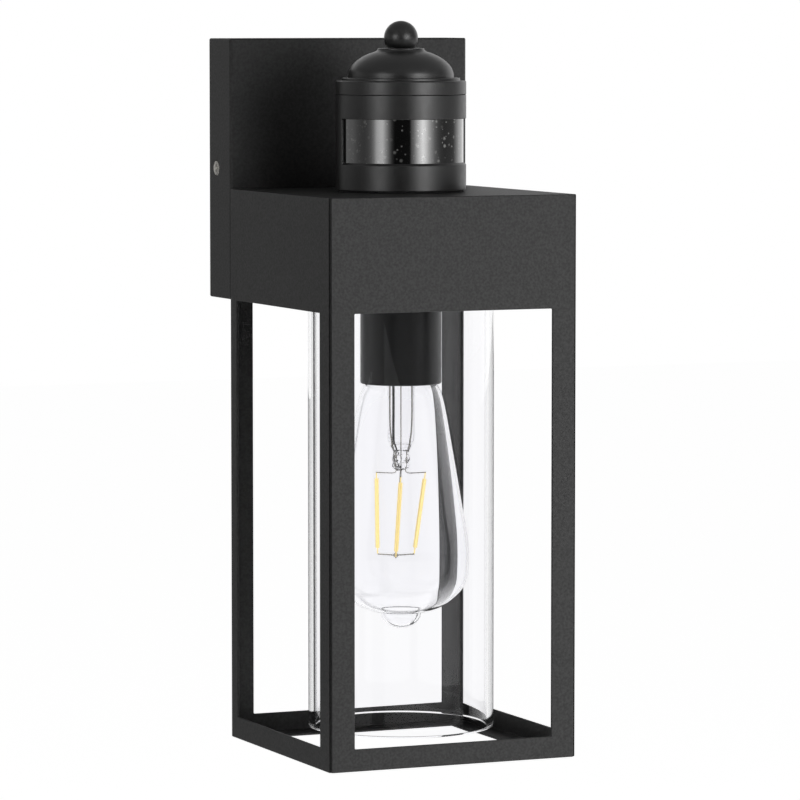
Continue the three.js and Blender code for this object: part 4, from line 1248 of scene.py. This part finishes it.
@dataclass
class Socket:
    """The sleeve with its flange, the porcelain lampholder and its screw shell."""

    sleeve_top: float = -31.6
    sleeve_ceiling: float = -33.4
    sleeve_bottom: float = -96.1
    sleeve_radius: float = 18.5
    sleeve_inner: float = 17.3
    flange_radius: float = 26.0
    tube_hole: float = 5.25
    tube_bore: float = 5.1
    tube_seat: float = -45.5
    holder_radius: float = 16.8
    holder_top: float = -33.5
    holder_floor: float = -64.5
    holder_bottom: float = -92.45
    holder_bore: float = 14.3
    wire_hole: float = 3.3
    shell_top: float = -64.6
    shell_bottom: float = -89.6
    shell_radius: float = 14.2
    shell_wall: float = 0.3
    shell_lip: float = 4.0
    shell_steps: int = 84
    thread_start: float = 1.0
    thread_pitch: float = 3.6
    thread_depth: float = 0.3

    def build(self) -> None:
        """Build and dress every piece of the socket."""
        self.build_sleeve()
        self.build_holder()
        self.build_shell()
        dress_nodes(ZINC, "socket_crossbar", "threaded_tube", "tube_nut")
        dress_nodes(BRASS, "centre_contact")

    def build_sleeve(self) -> None:
        """Spin the sleeve, a cup with a flange round its closed top."""
        top, ceiling, bottom = self.sleeve_top, self.sleeve_ceiling, self.sleeve_bottom
        outline = eased([
            (self.tube_hole, top, 0), (self.flange_radius, top, 0.4), (self.flange_radius, ceiling, 0.3),
            (self.sleeve_radius, ceiling, 0.4), (self.sleeve_radius, bottom, 0.7),
            (self.sleeve_inner, bottom, 0.3), (self.sleeve_inner, ceiling, 0), (self.tube_hole, ceiling, 0),
        ])
        fit(spun("sleeve_cup", outline), SATIN, Body.LANTERN, "socket_sleeve", where=AXIS)

    def build_holder(self) -> None:
        """Spin the porcelain block with its deep bore and its threaded hole."""
        top, floor, bottom = self.holder_top, self.holder_floor, self.holder_bottom
        outline = eased([
            (self.wire_hole, floor, 0.4), (self.holder_bore, floor, 0), (self.holder_bore, bottom, 0.5),
            (self.holder_radius, bottom, 1.2), (self.holder_radius, top, 0.8), (self.tube_bore, top, 0.6),
            (self.tube_bore, self.tube_seat, 0), (self.wire_hole, self.tube_seat, 0.4),
        ])
        fit(spun("holder_porcelain", outline), PORCELAIN, Body.LANTERN, "lampholder", where=AXIS)

    def build_shell(self) -> None:
        """Spin the screw shell, roll its thread and give it its thickness."""
        top, radius, steps = self.shell_top, self.shell_radius, self.shell_steps
        drop = (top - self.shell_bottom) / steps
        wall = [(radius, top - step * drop) for step in range(steps + 1)]
        shell = spun("screw_shell_rolled", [(radius - self.shell_lip, top), *wall], MEDIUM)
        roll_thread(shell, self.shell_bottom, top - self.thread_start, self.thread_pitch, self.thread_depth)
        thicken(shell, self.shell_wall)
        fit(shell, BRASS, Body.LANTERN, "screw_shell", where=AXIS, angle=SHARP_THREAD)


@dataclass
class GlassShade:
    """The clear glass cylinder, its two seals and the ring that clamps it."""

    radius: float = 42.3
    wall: float = 3.0
    top: float = -35.1
    hole: float = 20.0
    hole_ease: float = 1.0
    shoulder: float = 7.0
    rim: float = 0.7
    seal_radius: float = 26.0
    seal_tops: tuple[float, float] = (-33.5, -38.2)
    seal_thickness: float = 1.5
    seal_ease: float = 0.4
    ring_top: float = -39.8
    ring_height: float = 5.5
    ring_inner: float = 18.75
    ring_outer: float = 26.0
    notches: int = 12
    notch_radius: float = 2.4
    notch_overrun: float = 2.0
    notch_sides: int = 24

    def build(self) -> None:
        """Build and dress the glass, the seals and the ring."""
        self.build_glass()
        for name, top in zip(("upper", "lower"), self.seal_tops):
            self.build_seal(name, top)
        self.build_ring()

    def build_glass(self) -> None:
        """Spin the cylinder with its shoulder, its hole and its rounded rim."""
        inner, ceiling = self.radius - self.wall, self.top - self.wall
        corners = [
            (self.hole, self.top, self.hole_ease), (self.radius, self.top, self.shoulder),
            (self.radius, RAIL_TOP, self.rim), (inner, RAIL_TOP, self.rim),
            (inner, ceiling, self.shoulder - self.wall), (self.hole, ceiling, self.hole_ease),
        ]
        fit(spun("shade_glass", eased(corners, 8)), GLASS, Body.GLASS, "glass_cylinder", where=AXIS)

    def build_seal(self, name: str, top: float) -> None:
        """Spin one silicone seal.

        Args:
            name: Which of the two it is.
            top: Its upper face.
        """
        bottom = top - self.seal_thickness
        corners = [(self.hole, bottom), (self.seal_radius, bottom), (self.seal_radius, top), (self.hole, top)]
        outline = eased([(*corner, self.seal_ease) for corner in corners])
        seal = spun(f"{name}_seal_silicone", outline, MEDIUM)
        fit(seal, SILICONE, Body.GLASS, f"{name}_glass_seal", where=AXIS)

    def build_ring(self) -> None:
        """Spin the clamp ring and cut its finger notches."""
        inner, outer = self.ring_inner, self.ring_outer
        top, low = self.ring_top, self.ring_top - self.ring_height
        outline = eased([(inner, low, 0.3), (outer, low, 0.9), (outer, top, 0.9), (inner, top, 0.3)])
        ring = spun("clamp_ring_notched", outline)
        reach, overrun = outer + self.notch_radius / 2, self.notch_overrun
        cutters = []
        for notch in range(self.notches):
            angle = math.tau * notch / self.notches
            x, y = reach * math.cos(angle), reach * math.sin(angle)
            ends = (x, y, low - overrun), (x, y, top + overrun)
            cutters.append(rod("notch", self.notch_radius, *ends, self.notch_sides))
        carve(ring, cutters)
        fit(ring, MOULDED, Body.RING, "clamp_ring", where=AXIS)


@dataclass
class FilamentBulb:
    """The bulb, drawn downwards from the tip of its base at height 0.

    Attributes:
        tip_z: The height of the base's tip in the lantern.
        blown_radii: The blown outline's radii, as shares of the bulb's.
        blown_drops: Its heights, as shares of the drop from the base to the nipple.
        tip_collar: How far the insulator's cone starts outside the tip, and how far below it.
        stem_outline: Radius and height of the stem's outline, from below its flare's rim down.
        lead_path: Distance from the axis and height of a lead wire, from the base down.
        clocking: The direction of the first filament, in degrees from +X.
    """

    tip_z: float = -67.15
    radius: float = 31.2
    length: float = 141.0
    wall: float = 0.9
    nipple_radius: float = 9.2
    nipple_height: float = 7.2
    base_radius: float = 13.1
    base_top: float = -3.3
    base_bottom: float = -25.3
    base_wall: float = 0.35
    base_roll: float = 1.5
    base_steps: int = 72
    neck_radius: float = 12.5
    neck_top: float = -15.3
    thread_end: float = 2.5
    thread_pitch: float = 3.6
    thread_depth: float = 0.25
    tip_radius: float = 4.6
    tip_height: float = 0.7
    tip_gap: float = 0.1
    tip_collar: Point = (1.2, 0.5)
    insulator_radius: float = 11.1
    stem_top: float = -20.8
    stem_gap: float = 0.3
    pinch_top: float = -59.5
    pinch_bottom: float = -68.6
    pinch_flatness: float = 0.7
    lump_size: float = 2.6
    lump_height: float = 1.5
    lead_radius: float = 0.25
    rod_radius: float = 0.45
    rod_inset: float = 1.0
    filament_radius: float = 0.95
    filament_length: float = 31.8
    filament_ease: float = 0.3
    pin_radius: float = 0.3
    pin_top: float = -70.6
    pin_bottom: float = -107.4
    filament_top_radius: float = 13.0
    filament_foot_radius: float = 9.7
    hub_radius: float = 1.3
    hub_flatness: float = 0.8
    hub_offset: Point = (-2.1, 0.9)
    clocking: float = -113.6
    blown_radii: tuple[float, ...] = (0.526, 0.628, 0.76, 0.885, 0.984, 0.997, 0.936, 0.718, 0.497)
    blown_drops: tuple[float, ...] = (0.038, 0.11, 0.32, 0.53, 0.69, 0.8, 0.882, 0.951, 0.986)
    stem_outline: tuple[Point, ...] = (
        (7.7, -24.2), (6.1, -29.8), (6.1, -52.5), (5.5, -55.9), (4.2, -58.7), (3.612, -61.0),
        (4.2, -63.1), (3.612, -65.1), (4.2, -66.8), (2.52, -68.3),
    )
    lead_path: tuple[Point, ...] = ((3.4, -18.8), (3.4, -48.5), (2.31, -59.5), (2.31, -68.0), (3.51, -70.05))

    def build(self) -> None:
        """Build and dress every piece of the bulb."""
        self.build_envelope()
        self.build_base()
        self.build_tip()
        self.build_stem()
        self.build_filaments()

    def fit_on_axis(self, piece: Piece, finish: Finish, node: str, angle: float = SHARP_SHADE) -> None:
        """Put a piece, modelled below the origin, in its place in the bulb and dress it."""
        fit(piece, finish, Body.BULB, node, where=(0, AXIS_Y, self.tip_z), angle=angle)

    def build_envelope(self) -> None:
        """Spin the blown glass and give it its wall."""
        nipple_top = self.nipple_height - self.length
        drop = self.base_bottom - nipple_top
        shares = zip(self.blown_radii, self.blown_drops)
        blown = [(radius * self.radius, self.base_bottom - share * drop) for radius, share in shares]
        side = curved([(self.neck_radius, self.base_bottom), *blown, (self.nipple_radius, nipple_top)], 8)
        nipple = oval((0, nipple_top), (self.nipple_radius, self.nipple_height), 0, -90, 12)
        envelope = spun("envelope_glass", [(self.neck_radius, self.neck_top), *side, *nipple[1:]])
        thicken(envelope, self.wall)
        envelope.visible_shadow = False
        self.fit_on_axis(envelope, GLASS, "bulb_envelope")

    def build_base(self) -> None:
        """Spin the screw base and roll its thread."""
        roll, steps = self.base_roll, self.base_steps
        low, high = self.base_bottom, self.base_top - roll
        shoulder = arc((self.base_radius - roll, high), roll, 90, 0, 6)
        wall = [(self.base_radius, high - (high - low) * step / steps) for step in range(1, steps + 1)]
        inner_lip = (self.base_radius - 2 * roll, self.base_top)
        base = spun("screw_base_rolled", [inner_lip, *shoulder, *wall], MEDIUM)
        roll_thread(base, low + self.thread_end, high, self.thread_pitch, self.thread_depth)
        thicken(base, self.base_wall)
        self.fit_on_axis(base, NICKEL, "bulb_screw_base", SHARP_THREAD)

    def build_tip(self) -> None:
        """Spin the insulator and the tip contact."""
        gap, (out, down) = self.tip_gap, self.tip_collar
        top, floor = -self.tip_height - gap, self.base_top + gap
        cone = [(0, floor), (self.insulator_radius, floor), (self.tip_radius + out, top - down)]
        insulator = spun("insulator_vitrite", [*cone, (self.tip_radius + gap, top), (0, top)], MEDIUM)
        self.fit_on_axis(insulator, VITRITE, "bulb_insulator")
        bead = oval((0, -self.tip_height), (self.tip_radius, self.tip_height), 0, 90, 8)
        tip = spun("tip_solder", [(0, -self.tip_height), *bead], MEDIUM)
        self.fit_on_axis(tip, ZINC, "bulb_tip_contact")

    def build_stem(self) -> None:
        """Spin the stem, a glass flare on a rod, and flatten and knead the pinch that it ends in."""
        rim = (self.neck_radius - self.wall - self.stem_gap, self.stem_top)
        outline = curved([rim, *self.stem_outline, (0, self.pinch_bottom)], 6)
        stem = spun("stem_glass", [(0, self.stem_top), *outline], MEDIUM)
        with editing(stem):
            select(stem, Pick.CORNERS, lambda middle, normal: middle.z < self.pinch_top)
            bpy.ops.transform.resize(value=(1.0, self.pinch_flatness, 1), center_override=(0, 0, 0))
            bpy.ops.object.vertex_group_assign_new()
        lumps = bpy.data.textures.new("lumps", "CLOUDS")
        lumps.noise_scale = self.lump_size * MM
        knead = {"texture": lumps, "strength": self.lump_height * MM, "mid_level": 0.5}
        modify(stem, "DISPLACE", vertex_group=stem.vertex_groups[-1].name, **knead)
        stem.visible_shadow = False
        self.fit_on_axis(stem, GLASS, "bulb_stem")

    def turn(self, number: int) -> float:
        """Give the direction of one of the three filaments, in degrees from +X."""
        return self.clocking + 120 * (number - 1)

    def filament_end(self, number: int, top: bool) -> Vector:
        """Say where one of the filaments' pins ends.

        Args:
            number: Which of the three filaments it is.
            top: Whether the pin is the upper or the lower one.

        Returns:
            The place, in millimetres below the tip of the base.
        """
        angle = math.radians(self.turn(number))
        around = Vector((math.cos(angle), math.sin(angle), 0))
        if top:
            return around * self.filament_top_radius + Vector((0, 0, self.pin_top))
        return around * self.filament_foot_radius + Vector((*self.hub_offset, self.pin_bottom))

    def build_filaments(self) -> None:
        """Build the support rod, the lead wires, the filaments and the hub."""
        hub = Vector((*self.hub_offset, self.pin_bottom - self.pin_radius))
        start = (0, 0, self.pinch_bottom + self.rod_inset)
        self.fit_on_axis(wire("support_rod_wire", [start, hub], self.rod_radius), NICKEL, "bulb_support_rod")
        for number in (1, 2, 3):
            lead = place(self.lead_wire(number), ORIGIN, (0, 0, self.turn(number)))
            self.fit_on_axis(lead, NICKEL, f"bulb_lead_wire_{number}")
            self.build_filament(number)
        self.build_hub(hub)

    def lead_wire(self, number: int) -> Piece:
        """Run one wire from the base through the stem's pinch and out to a filament's top.

        Args:
            number: Which of the three it is.

        Returns:
            The wire, in the plane of X and Z.
        """
        level = self.pin_top + self.lead_radius
        halfway = (self.lead_path[-2][0] + self.filament_top_radius) / 2
        end = self.filament_top_radius + self.pin_radius
        path = curved([*self.lead_path, (halfway, level), (end, level)], 6)
        return wire(f"lead_wire_{number}_bent", [(x, 0, z) for x, z in path], self.lead_radius)

    def build_filament(self, number: int) -> None:
        """Spin one coated filament with its pins, and lean it towards the hub.

        Args:
            number: Which of the three it is.
        """
        top, foot = self.filament_end(number, True), self.filament_end(number, False)
        half, end = self.filament_length / 2, (top - foot).length / 2
        ease, pin = self.filament_ease, self.pin_radius
        upper = arc((self.filament_radius - ease, half - ease), ease, 90, 0, 4)
        lower = [(radius, -height) for radius, height in reversed(upper)]
        outline = [(0, end), (pin, end), (pin, half), *upper, *lower, (pin, -half), (pin, -end), (0, -end)]
        filament = spun(f"filament_{number}_coated", outline, COARSE)
        lean = (top - foot).to_track_quat("Z", "Y").to_euler()
        place(filament, (top + foot) / 2, [math.degrees(angle) for angle in lean])
        self.fit_on_axis(filament, PHOSPHOR, f"bulb_filament_{number}")

    def build_hub(self, hub: Vector) -> None:
        """Join the filaments' feet by three arms and a bead.

        Args:
            hub: The hub's place, in millimetres below the tip of the base.
        """
        ball = oval((0, 0), (self.hub_radius, self.hub_radius * self.hub_flatness), 90, -90, 12)
        pieces = [place(spun("bead", ball, COARSE), hub)]
        for number in (1, 2, 3):
            foot = self.filament_end(number, False)
            pieces.append(wire("arm", [hub, (foot.x, foot.y, hub.z)], self.pin_radius))
        self.fit_on_axis(joined("filament_hub_soldered", pieces), NICKEL, "bulb_filament_hub")


@dataclass
class SensorHead:
    """The motion sensor on the roof, drawn upwards from the roof at height 0.

    Attributes:
        half_angle, lens_half_angle: How far the window and the lens reach round from the front.
        sill_near, sill_margin: How near to the sill a corner lies that is lifted with it, and
            how far beyond the window's sides in degrees.
    """

    radius: float = 29.6
    wall: float = 2.2
    bottom: float = 1.0
    top: float = 43.9
    sill: float = 12.4
    sill_rise: float = 1.6
    sill_near: float = 0.05
    sill_margin: float = 0.5
    head: float = 33.1
    half_angle: float = 88.0
    lens_radius: float = 28.3
    lens_thickness: float = 1.3
    lens_half_angle: float = 87.2
    lens_overlap: float = 0.5
    lens_ease: float = 0.2
    edge_ease: float = 0.3
    steps: int = 180
    cap_bottom: float = 44.0
    cap_wall: float = 2.0
    skirt_top: float = 50.2
    step_radius: float = 26.8
    step_top: float = 51.5
    dome_radius: float = 23.9
    dome_foot: float = 52.4
    dome_height: float = 12.5
    dome_wall: float = 2.6
    crown_angle: float = 80.0
    crown_depth: float = 3.2
    collar_radius: float = 10.6
    collar_foot_radius: float = 11.9
    collar_foot_ease: float = 0.5
    collar_top: float = 64.8
    collar_ease: float = 0.35
    spigot_radius: float = 27.3
    spigot_depth: float = 3.5
    shank_gap: float = 0.1
    ball_radius: float = 7.7
    ball_centre: float = 69.5
    ball_foot: float = -4.6
    shank_radius: float = 2.5
    shank_length: float = 6.0

    def build(self) -> None:
        """Build and dress every piece of the sensor head."""
        self.build_housing()
        self.build_lens()
        self.build_cap()
        self.build_ball()
        # The photocell wears the phosphor finish and so has its painted glow too.
        kept = {
            "sensor_seal": RUBBER, "sensor_floor": MOULDED, "sensor_nut": ZINC, "circuit_board": BOARD,
            "pir_sensor": NICKEL, "photocell": PHOSPHOR, "power_relay": COMPONENT, "capacitor": SATIN,
        }
        for name, finish in kept.items():
            dress_nodes(finish, name)

    def off_front(self, middle: Vector) -> float:
        """Say how far round from the front a place is, in degrees."""
        return abs(math.degrees(math.atan2(middle.x, -middle.y)))

    def fit_on_roof(self, piece: Piece, finish: Finish, node: str) -> None:
        """Put a piece, modelled above the origin, in its place on the roof and dress it."""
        fit(piece, finish, Body.LANTERN, node, where=(0, AXIS_Y, HEADER_TOP))

    def in_window(self, middle: Vector, normal: Vector) -> bool:
        """Say whether a face of the drum's skin fills its window."""
        return self.off_front(middle) < self.half_angle and self.sill < middle.z < self.head

    def on_sill(self, middle: Vector, normal: Vector) -> bool:
        """Say whether a corner lies on the inner edge of the window's sill.

        Args:
            middle: The corner's place in millimetres.
            normal: The corner's normal, which is not used.

        Returns:
            Whether the corner is to be lifted.
        """
        inside = math.hypot(middle.x, middle.y) < self.radius - self.wall / 2
        in_front = self.off_front(middle) < self.half_angle + self.sill_margin
        return inside and in_front and abs(middle.z - self.sill) < self.sill_near

    def build_housing(self) -> None:
        """Spin the drum's skin, cut its window, and give it its wall and its sloping sill."""
        heights = (self.bottom, self.sill, self.head, self.top)
        housing = spun("sensor_drum", [(self.radius, height) for height in heights], self.steps)
        with editing(housing):
            select(housing, Pick.FACES, self.in_window)
            bpy.ops.mesh.delete(type="FACE")
        thicken(housing, self.wall)
        with editing(housing):
            select(housing, Pick.CORNERS, self.on_sill)
            bpy.ops.transform.translate(value=(0, 0, self.sill_rise * MM))
        ease_edges(housing, self.edge_ease)
        self.fit_on_roof(housing, MOULDED, "sensor_housing")

    def build_lens(self) -> None:
        """Spin a band and keep the part of it that fills the window."""
        outer, inner = self.lens_radius, self.lens_radius - self.lens_thickness
        low, high = self.sill + self.sill_rise / 2, self.head + self.lens_overlap
        corners = [(inner, low), (outer, low), (outer, high), (inner, high)]
        lens = spun("lens_band", eased([(*corner, self.lens_ease) for corner in corners], 2), self.steps * 5)
        with editing(lens):
            select(lens, Pick.FACES, lambda middle, normal: self.off_front(middle) > self.lens_half_angle)
            bpy.ops.mesh.delete(type="FACE")
            bpy.ops.mesh.select_mode(type=Pick.EDGES.value)
            bpy.ops.mesh.select_non_manifold()
            bpy.ops.mesh.edge_face_add()
        self.fit_on_roof(lens, LENS, "sensor_lens")

    def cap_inside(self) -> list[Point]:
        """Draw the cap's hollow from the bore in its collar down to its spigot.

        Returns:
            The outline's points.
        """
        bore, wall = self.shank_radius + self.shank_gap, self.cap_wall
        foot = self.cap_bottom - self.spigot_depth
        radii = (self.dome_radius - wall, self.dome_height - self.dome_wall)
        return [
            (bore, self.collar_top), (bore, self.collar_top - self.crown_depth),
            *oval((0, self.dome_foot), radii, self.crown_angle, 0, 16),
            (self.spigot_radius - wall, self.skirt_top), (self.spigot_radius - wall, foot),
            (self.spigot_radius, foot), (self.spigot_radius, self.cap_bottom),
        ]

    def build_cap(self) -> None:
        """Spin the stepped, bell-shaped cap, hollow from below."""
        skirt = eased([
            (self.spigot_radius, self.cap_bottom, 0), (self.radius, self.cap_bottom, 0.3),
            (self.radius, self.skirt_top, 0.65), (self.step_radius, self.skirt_top, 0.25),
            (self.step_radius, self.step_top, 0.5), (self.dome_radius, self.step_top, 0),
        ])[:-1]
        angle = math.degrees(math.acos(self.collar_foot_radius / self.dome_radius))
        dome = oval((0, self.dome_foot), (self.dome_radius, self.dome_height), 0, angle, 24)
        radius, ease, rise, start = self.collar_radius, self.collar_ease, self.collar_foot_ease, dome[-1][1]
        foot = curved([dome[-1], (radius + ease, start + rise), (radius, start + 2 * rise)], 3)
        rim = arc((radius - ease, self.collar_top - ease), ease, 0, 90, 4)
        cap = spun("cap_bell", [*skirt, *dome, *foot[1:], *rim, *self.cap_inside()])
        self.fit_on_roof(cap, MOULDED, "sensor_cap")

    def build_ball(self) -> None:
        """Spin the ball and the shank that holds it in the cap."""
        start = math.degrees(math.asin(self.ball_foot / self.ball_radius))
        ball = arc((0, 0), self.ball_radius, start, 90, 32)
        low = self.ball_foot - self.shank_length
        shank = [(0, low), (self.shank_radius, low), (self.shank_radius, self.ball_foot)]
        knob = place(spun("cap_ball_turned", [*shank, *ball]), (0, 0, self.ball_centre))
        self.fit_on_roof(knob, MOULDED, "cap_ball")


@dataclass
class Wiring:
    """The leads inside the header, which keep their CAD shape."""

    black: str = "sensor_live_lead"
    whites: tuple[str, str] = ("sensor_neutral_lead", "holder_neutral_lead")
    red: str = "switched_lead"

    def build(self) -> None:
        """Dress the four leads."""
        dress_nodes(LEAD_BLACK, self.black)
        dress_nodes(LEAD_WHITE, *self.whites)
        dress_nodes(LEAD_RED, self.red)


# Studio


@dataclass
class Softbox:
    """A flat lamp that faces the lantern.

    Attributes:
        azimuth: Where it stands round the lantern, in degrees from +X.
        width: How wide it is, in degrees seen from the lantern.
        low: The height of its lower edge, in millimetres.
        high: The height of its upper edge, in millimetres.
        brightness: Its radiance, where 1 is plain white.
        use: Whether it lights the surfaces or shows in them.
        distance: How far it stands from the lantern's axis, in millimetres.
    """

    azimuth: float
    width: float
    low: float
    high: float
    brightness: float
    use: LampUse
    distance: float = 1500.0

    def build(self, name: str) -> None:
        """Add the lamp.

        Args:
            name: The lamp's name.
        """
        wide = 2 * self.distance * MM * math.tan(math.radians(self.width / 2))
        tall = (self.high - self.low) * MM
        angle = math.radians(self.azimuth)
        lamp = bpy.data.lights.new(name, "AREA")
        lamp.shape = "RECTANGLE"
        lamp.size, lamp.size_y = wide, tall
        lamp.energy = self.brightness * math.pi * wide * tall
        holder = bpy.data.objects.new(name, lamp)
        bpy.context.scene.collection.objects.link(holder)
        away = Vector((math.cos(angle), math.sin(angle), 0))
        middle = (self.low + self.high) / 2
        holder.location = metres((0, AXIS_Y, middle)) + away * self.distance * MM
        holder.rotation_euler = away.to_track_quat("Z", "Y").to_euler()
        holder.visible_camera = False
        holder.visible_transmission = False
        holder.visible_diffuse = self.use is LampUse.FILL
        holder.visible_glossy = self.use is LampUse.MIRRORED


@dataclass
class MirroredScreen:
    """A curved screen in front of the lantern that shows only in glossy surfaces.

    Attributes:
        radius: How far it stands from the lantern's axis, in millimetres.
        low: The height of its lower edge.
        high: The height of its upper edge.
        facet: How many degrees each of its flats spans.
        cut: The azimuth that its pattern starts and ends at, where the screen is open.
        peak: The radiance that its shares are of, where 1 is plain white.
        shares: Azimuths in degrees from +X, with the share of the peak that it has there.
    """

    radius: float = 1500.0
    low: float = -80.0
    high: float = 560.0
    facet: float = 3.0
    cut: float = 52.0
    peak: float = 5.8
    shares: tuple[Point, ...] = (
        (-254.0, 0.045), (-230.0, 0.075), (-212.0, 0.08), (-200.0, 0.055), (-190.0, 0.045),
        (-183.0, 0.045), (-176.0, 0.06), (-170.0, 0.095), (-164.0, 0.2), (-158.0, 0.45),
        (-152.0, 0.55), (-147.0, 0.57), (-141.0, 0.31), (-135.0, 0.12), (-130.0, 0.03),
        (-125.0, 0.003), (-97.0, 0.003), (-94.0, 0.1), (-90.0, 0.17), (-85.0, 0.4),
        (-79.0, 0.72), (-73.0, 1.0), (-67.0, 0.79), (-61.0, 0.46), (-55.0, 0.27), (-49.0, 0.13),
        (-42.0, 0.063), (-35.0, 0.035), (-27.0, 0.025), (-11.0, 0.028), (-2.0, 0.035),
    )

    def build(self) -> None:
        """Bend the screen, light it and keep it out of everything but gloss."""
        first, last = self.shares[0][0], self.shares[-1][0]
        steps = round((last - first) / self.facet)
        foot = [(x, y, self.low) for x, y in arc((0, AXIS_Y), self.radius, first, last, steps)]
        screen = drawn("mirrored_screen", foot)
        with editing(screen):
            rise = (0, 0, (self.high - self.low) * MM)
            bpy.ops.mesh.extrude_region_move(TRANSFORM_OT_translate={"value": rise})
        shader = Shader("screen_glow")
        shader.glow_only(self.glow(shader))
        screen.data.materials.append(shader.material)
        screen.visible_camera = False
        screen.visible_diffuse = False
        screen.visible_transmission = False
        screen.visible_shadow = False

    def glow(self, shader: Shader) -> Output:
        """Work out the radiance from the azimuth.

        Args:
            shader: The screen's nodes.

        Returns:
            The radiance.
        """
        turn = 180 - self.cut
        angle = math.radians(turn)
        across = (math.cos(angle), -math.sin(angle), 0)
        along = (math.sin(angle), math.cos(angle), 0)
        centred = shader.vector("SUBTRACT", shader.object_place, metres(AXIS)).outputs[0]
        azimuth = shader.combined("ARCTAN2", shader.along(centred, along), shader.along(centred, across))
        node = shader.node("ShaderNodeValToRGB", {0: shader.range(azimuth, (-math.pi, math.pi))})
        ramp = node.color_ramp
        for number, (azimuth_of, share) in enumerate(self.shares):
            position = (azimuth_of + turn) / 360 + 0.5
            stop = ramp.elements[0] if not number else ramp.elements.new(position)
            stop.position = position
            stop.color = (share, share, share, 1)
        ramp.elements.remove(ramp.elements[-1])
        return shader.combined("MULTIPLY", node.outputs["Color"], self.peak)


@dataclass
class Studio:
    """The floor, the surroundings, the lamps and the camera.

    Attributes:
        floor_grey: The floor's base grey.
        floor_seen: The floor's radiance for the camera and through glass.
        floor_lit: The radiance that the floor lights surfaces with.
        floor_gloss: Its radiance in glossy surfaces.
        floor_near: The share of these two that it has close by.
        floor_reach: How far from the origin, in metres, they start to fade and are gone.
        surround: The radiance of the surroundings for the surfaces that they light.
        sky: Their radiance from above in glossy surfaces.
        sky_edge: How steeply upwards the sky starts and is whole.
        backdrop: The direction of the white backdrop.
        mirrored_edge: How near to that direction the backdrop starts and is whole in gloss.
        refracted_edge: The same through glass.
    """

    floor_z: float = -600.0
    floor_size: float = 12000.0
    floor_grey: float = 0.8
    floor_seen: float = 0.95
    floor_lit: float = 0.55
    floor_gloss: float = 1.0
    floor_near: float = 0.9
    floor_reach: Point = (0.9, 1.6)
    surround: float = 0.05
    sky: float = 0.3
    sky_edge: Point = (0.25, 0.6)
    backdrop: tuple[float, float, float] = (0.5, 0.866, 0.0)
    mirrored_edge: Point = (0.45, 0.78)
    refracted_edge: Point = (-0.75, -0.45)
    camera_place: tuple[float, float, float] = (-865.61, -2071.71, 73.97)
    camera_turn: tuple[float, float, float] = (85.303, 0.0, -23.5594)
    lens: float = 214.727
    softboxes: tuple[Softbox, ...] = (
        Softbox(-52.0, 44.0, -330.0, 10.0, 8.5, LampUse.FILL, 800.0),
        Softbox(-115.0, 30.0, -700.0, 10.0, 0.9, LampUse.FILL, 1200.0),
        Softbox(165.0, 60.0, -500.0, 0.0, 0.4, LampUse.FILL, 300.0),
        Softbox(-10.0, 70.0, -700.0, -90.0, 0.6, LampUse.MIRRORED),
        Softbox(132.0, 44.0, -80.0, 600.0, 0.45, LampUse.MIRRORED),
    )

    def build(self) -> None:
        """Build the whole studio."""
        self.build_floor()
        self.build_world()
        for number, softbox in enumerate(self.softboxes, 1):
            softbox.build(f"softbox_{number}")
        MirroredScreen().build()
        self.build_camera()

    def build_floor(self) -> None:
        """Lay a pale floor that keeps the lantern's shadow."""
        bpy.ops.mesh.primitive_plane_add(size=self.floor_size * MM, location=metres((0, 0, self.floor_z)))
        floor = latest("floor")
        shader = Shader("floor_white")
        path = shader.node("ShaderNodeLightPath").outputs
        seen = shader.combined("MAXIMUM", path["Is Camera Ray"], path["Is Transmission Ray"])
        spot = shader.vector("LENGTH", shader.object_place).outputs["Value"]
        near = shader.range(spot, self.floor_reach, (self.floor_near, 0.0))
        level = shader.range(path["Is Glossy Ray"], (0.0, 1.0), (self.floor_lit, self.floor_gloss))
        shine = shader.combined("MULTIPLY", level, near)
        plain = shader.combined("MULTIPLY", seen, self.floor_seen)
        shader.glow_only(shader.combined("MAXIMUM", plain, shine), self.floor_grey)
        floor.data.materials.append(shader.material)

    def build_world(self) -> None:
        """Surround the lantern with white for the camera and glass, and with dimmer light for the rest."""
        world = bpy.data.worlds.new("studio")
        world.use_nodes = True
        bpy.context.scene.world = world
        nodes = Nodes(world.node_tree)
        path = nodes.node("ShaderNodeLightPath").outputs
        direction = nodes.node("ShaderNodeTexCoord").outputs["Generated"]
        facing = nodes.along(direction, self.backdrop)
        rising = nodes.range(nodes.along(direction, (0, 0, 1)), self.sky_edge)
        behind = nodes.range(facing, self.mirrored_edge, (self.surround, 1.0))
        mirrored = nodes.between(rising, behind, self.sky)
        refracted = nodes.range(facing, self.refracted_edge, (self.surround, 1.0))
        strength = nodes.between(path["Is Glossy Ray"], self.surround, mirrored)
        strength = nodes.between(path["Is Transmission Ray"], strength, refracted)
        strength = nodes.between(path["Is Camera Ray"], strength, 1.0)
        background = world.node_tree.nodes["Background"]
        nodes.feed(background.inputs["Strength"], strength)
        nodes.feed(background.inputs["Color"], (1, 1, 1, 1))

    def build_camera(self) -> None:
        """Put the camera where the photograph was taken from."""
        data = bpy.data.cameras.new("camera")
        data.lens = self.lens
        camera = bpy.data.objects.new("camera", data)
        bpy.context.scene.collection.objects.link(camera)
        camera.location = metres(self.camera_place)
        camera.rotation_euler = [math.radians(angle) for angle in self.camera_turn]
        bpy.context.scene.camera = camera
        bpy.context.scene.view_settings.view_transform = "Standard"


def main() -> None:
    """Build the lantern and its studio, one sub-assembly after another."""
    logging.basicConfig(level=logging.INFO, format="%(message)s")
    lantern = (WallSide(), BodySheet(), Socket(), GlassShade(), FilamentBulb(), SensorHead(), Wiring())
    for part in (*lantern, Studio()):
        LOG.info("building %s", type(part).__name__)
        part.build()


if __name__ == "__main__":
    main()
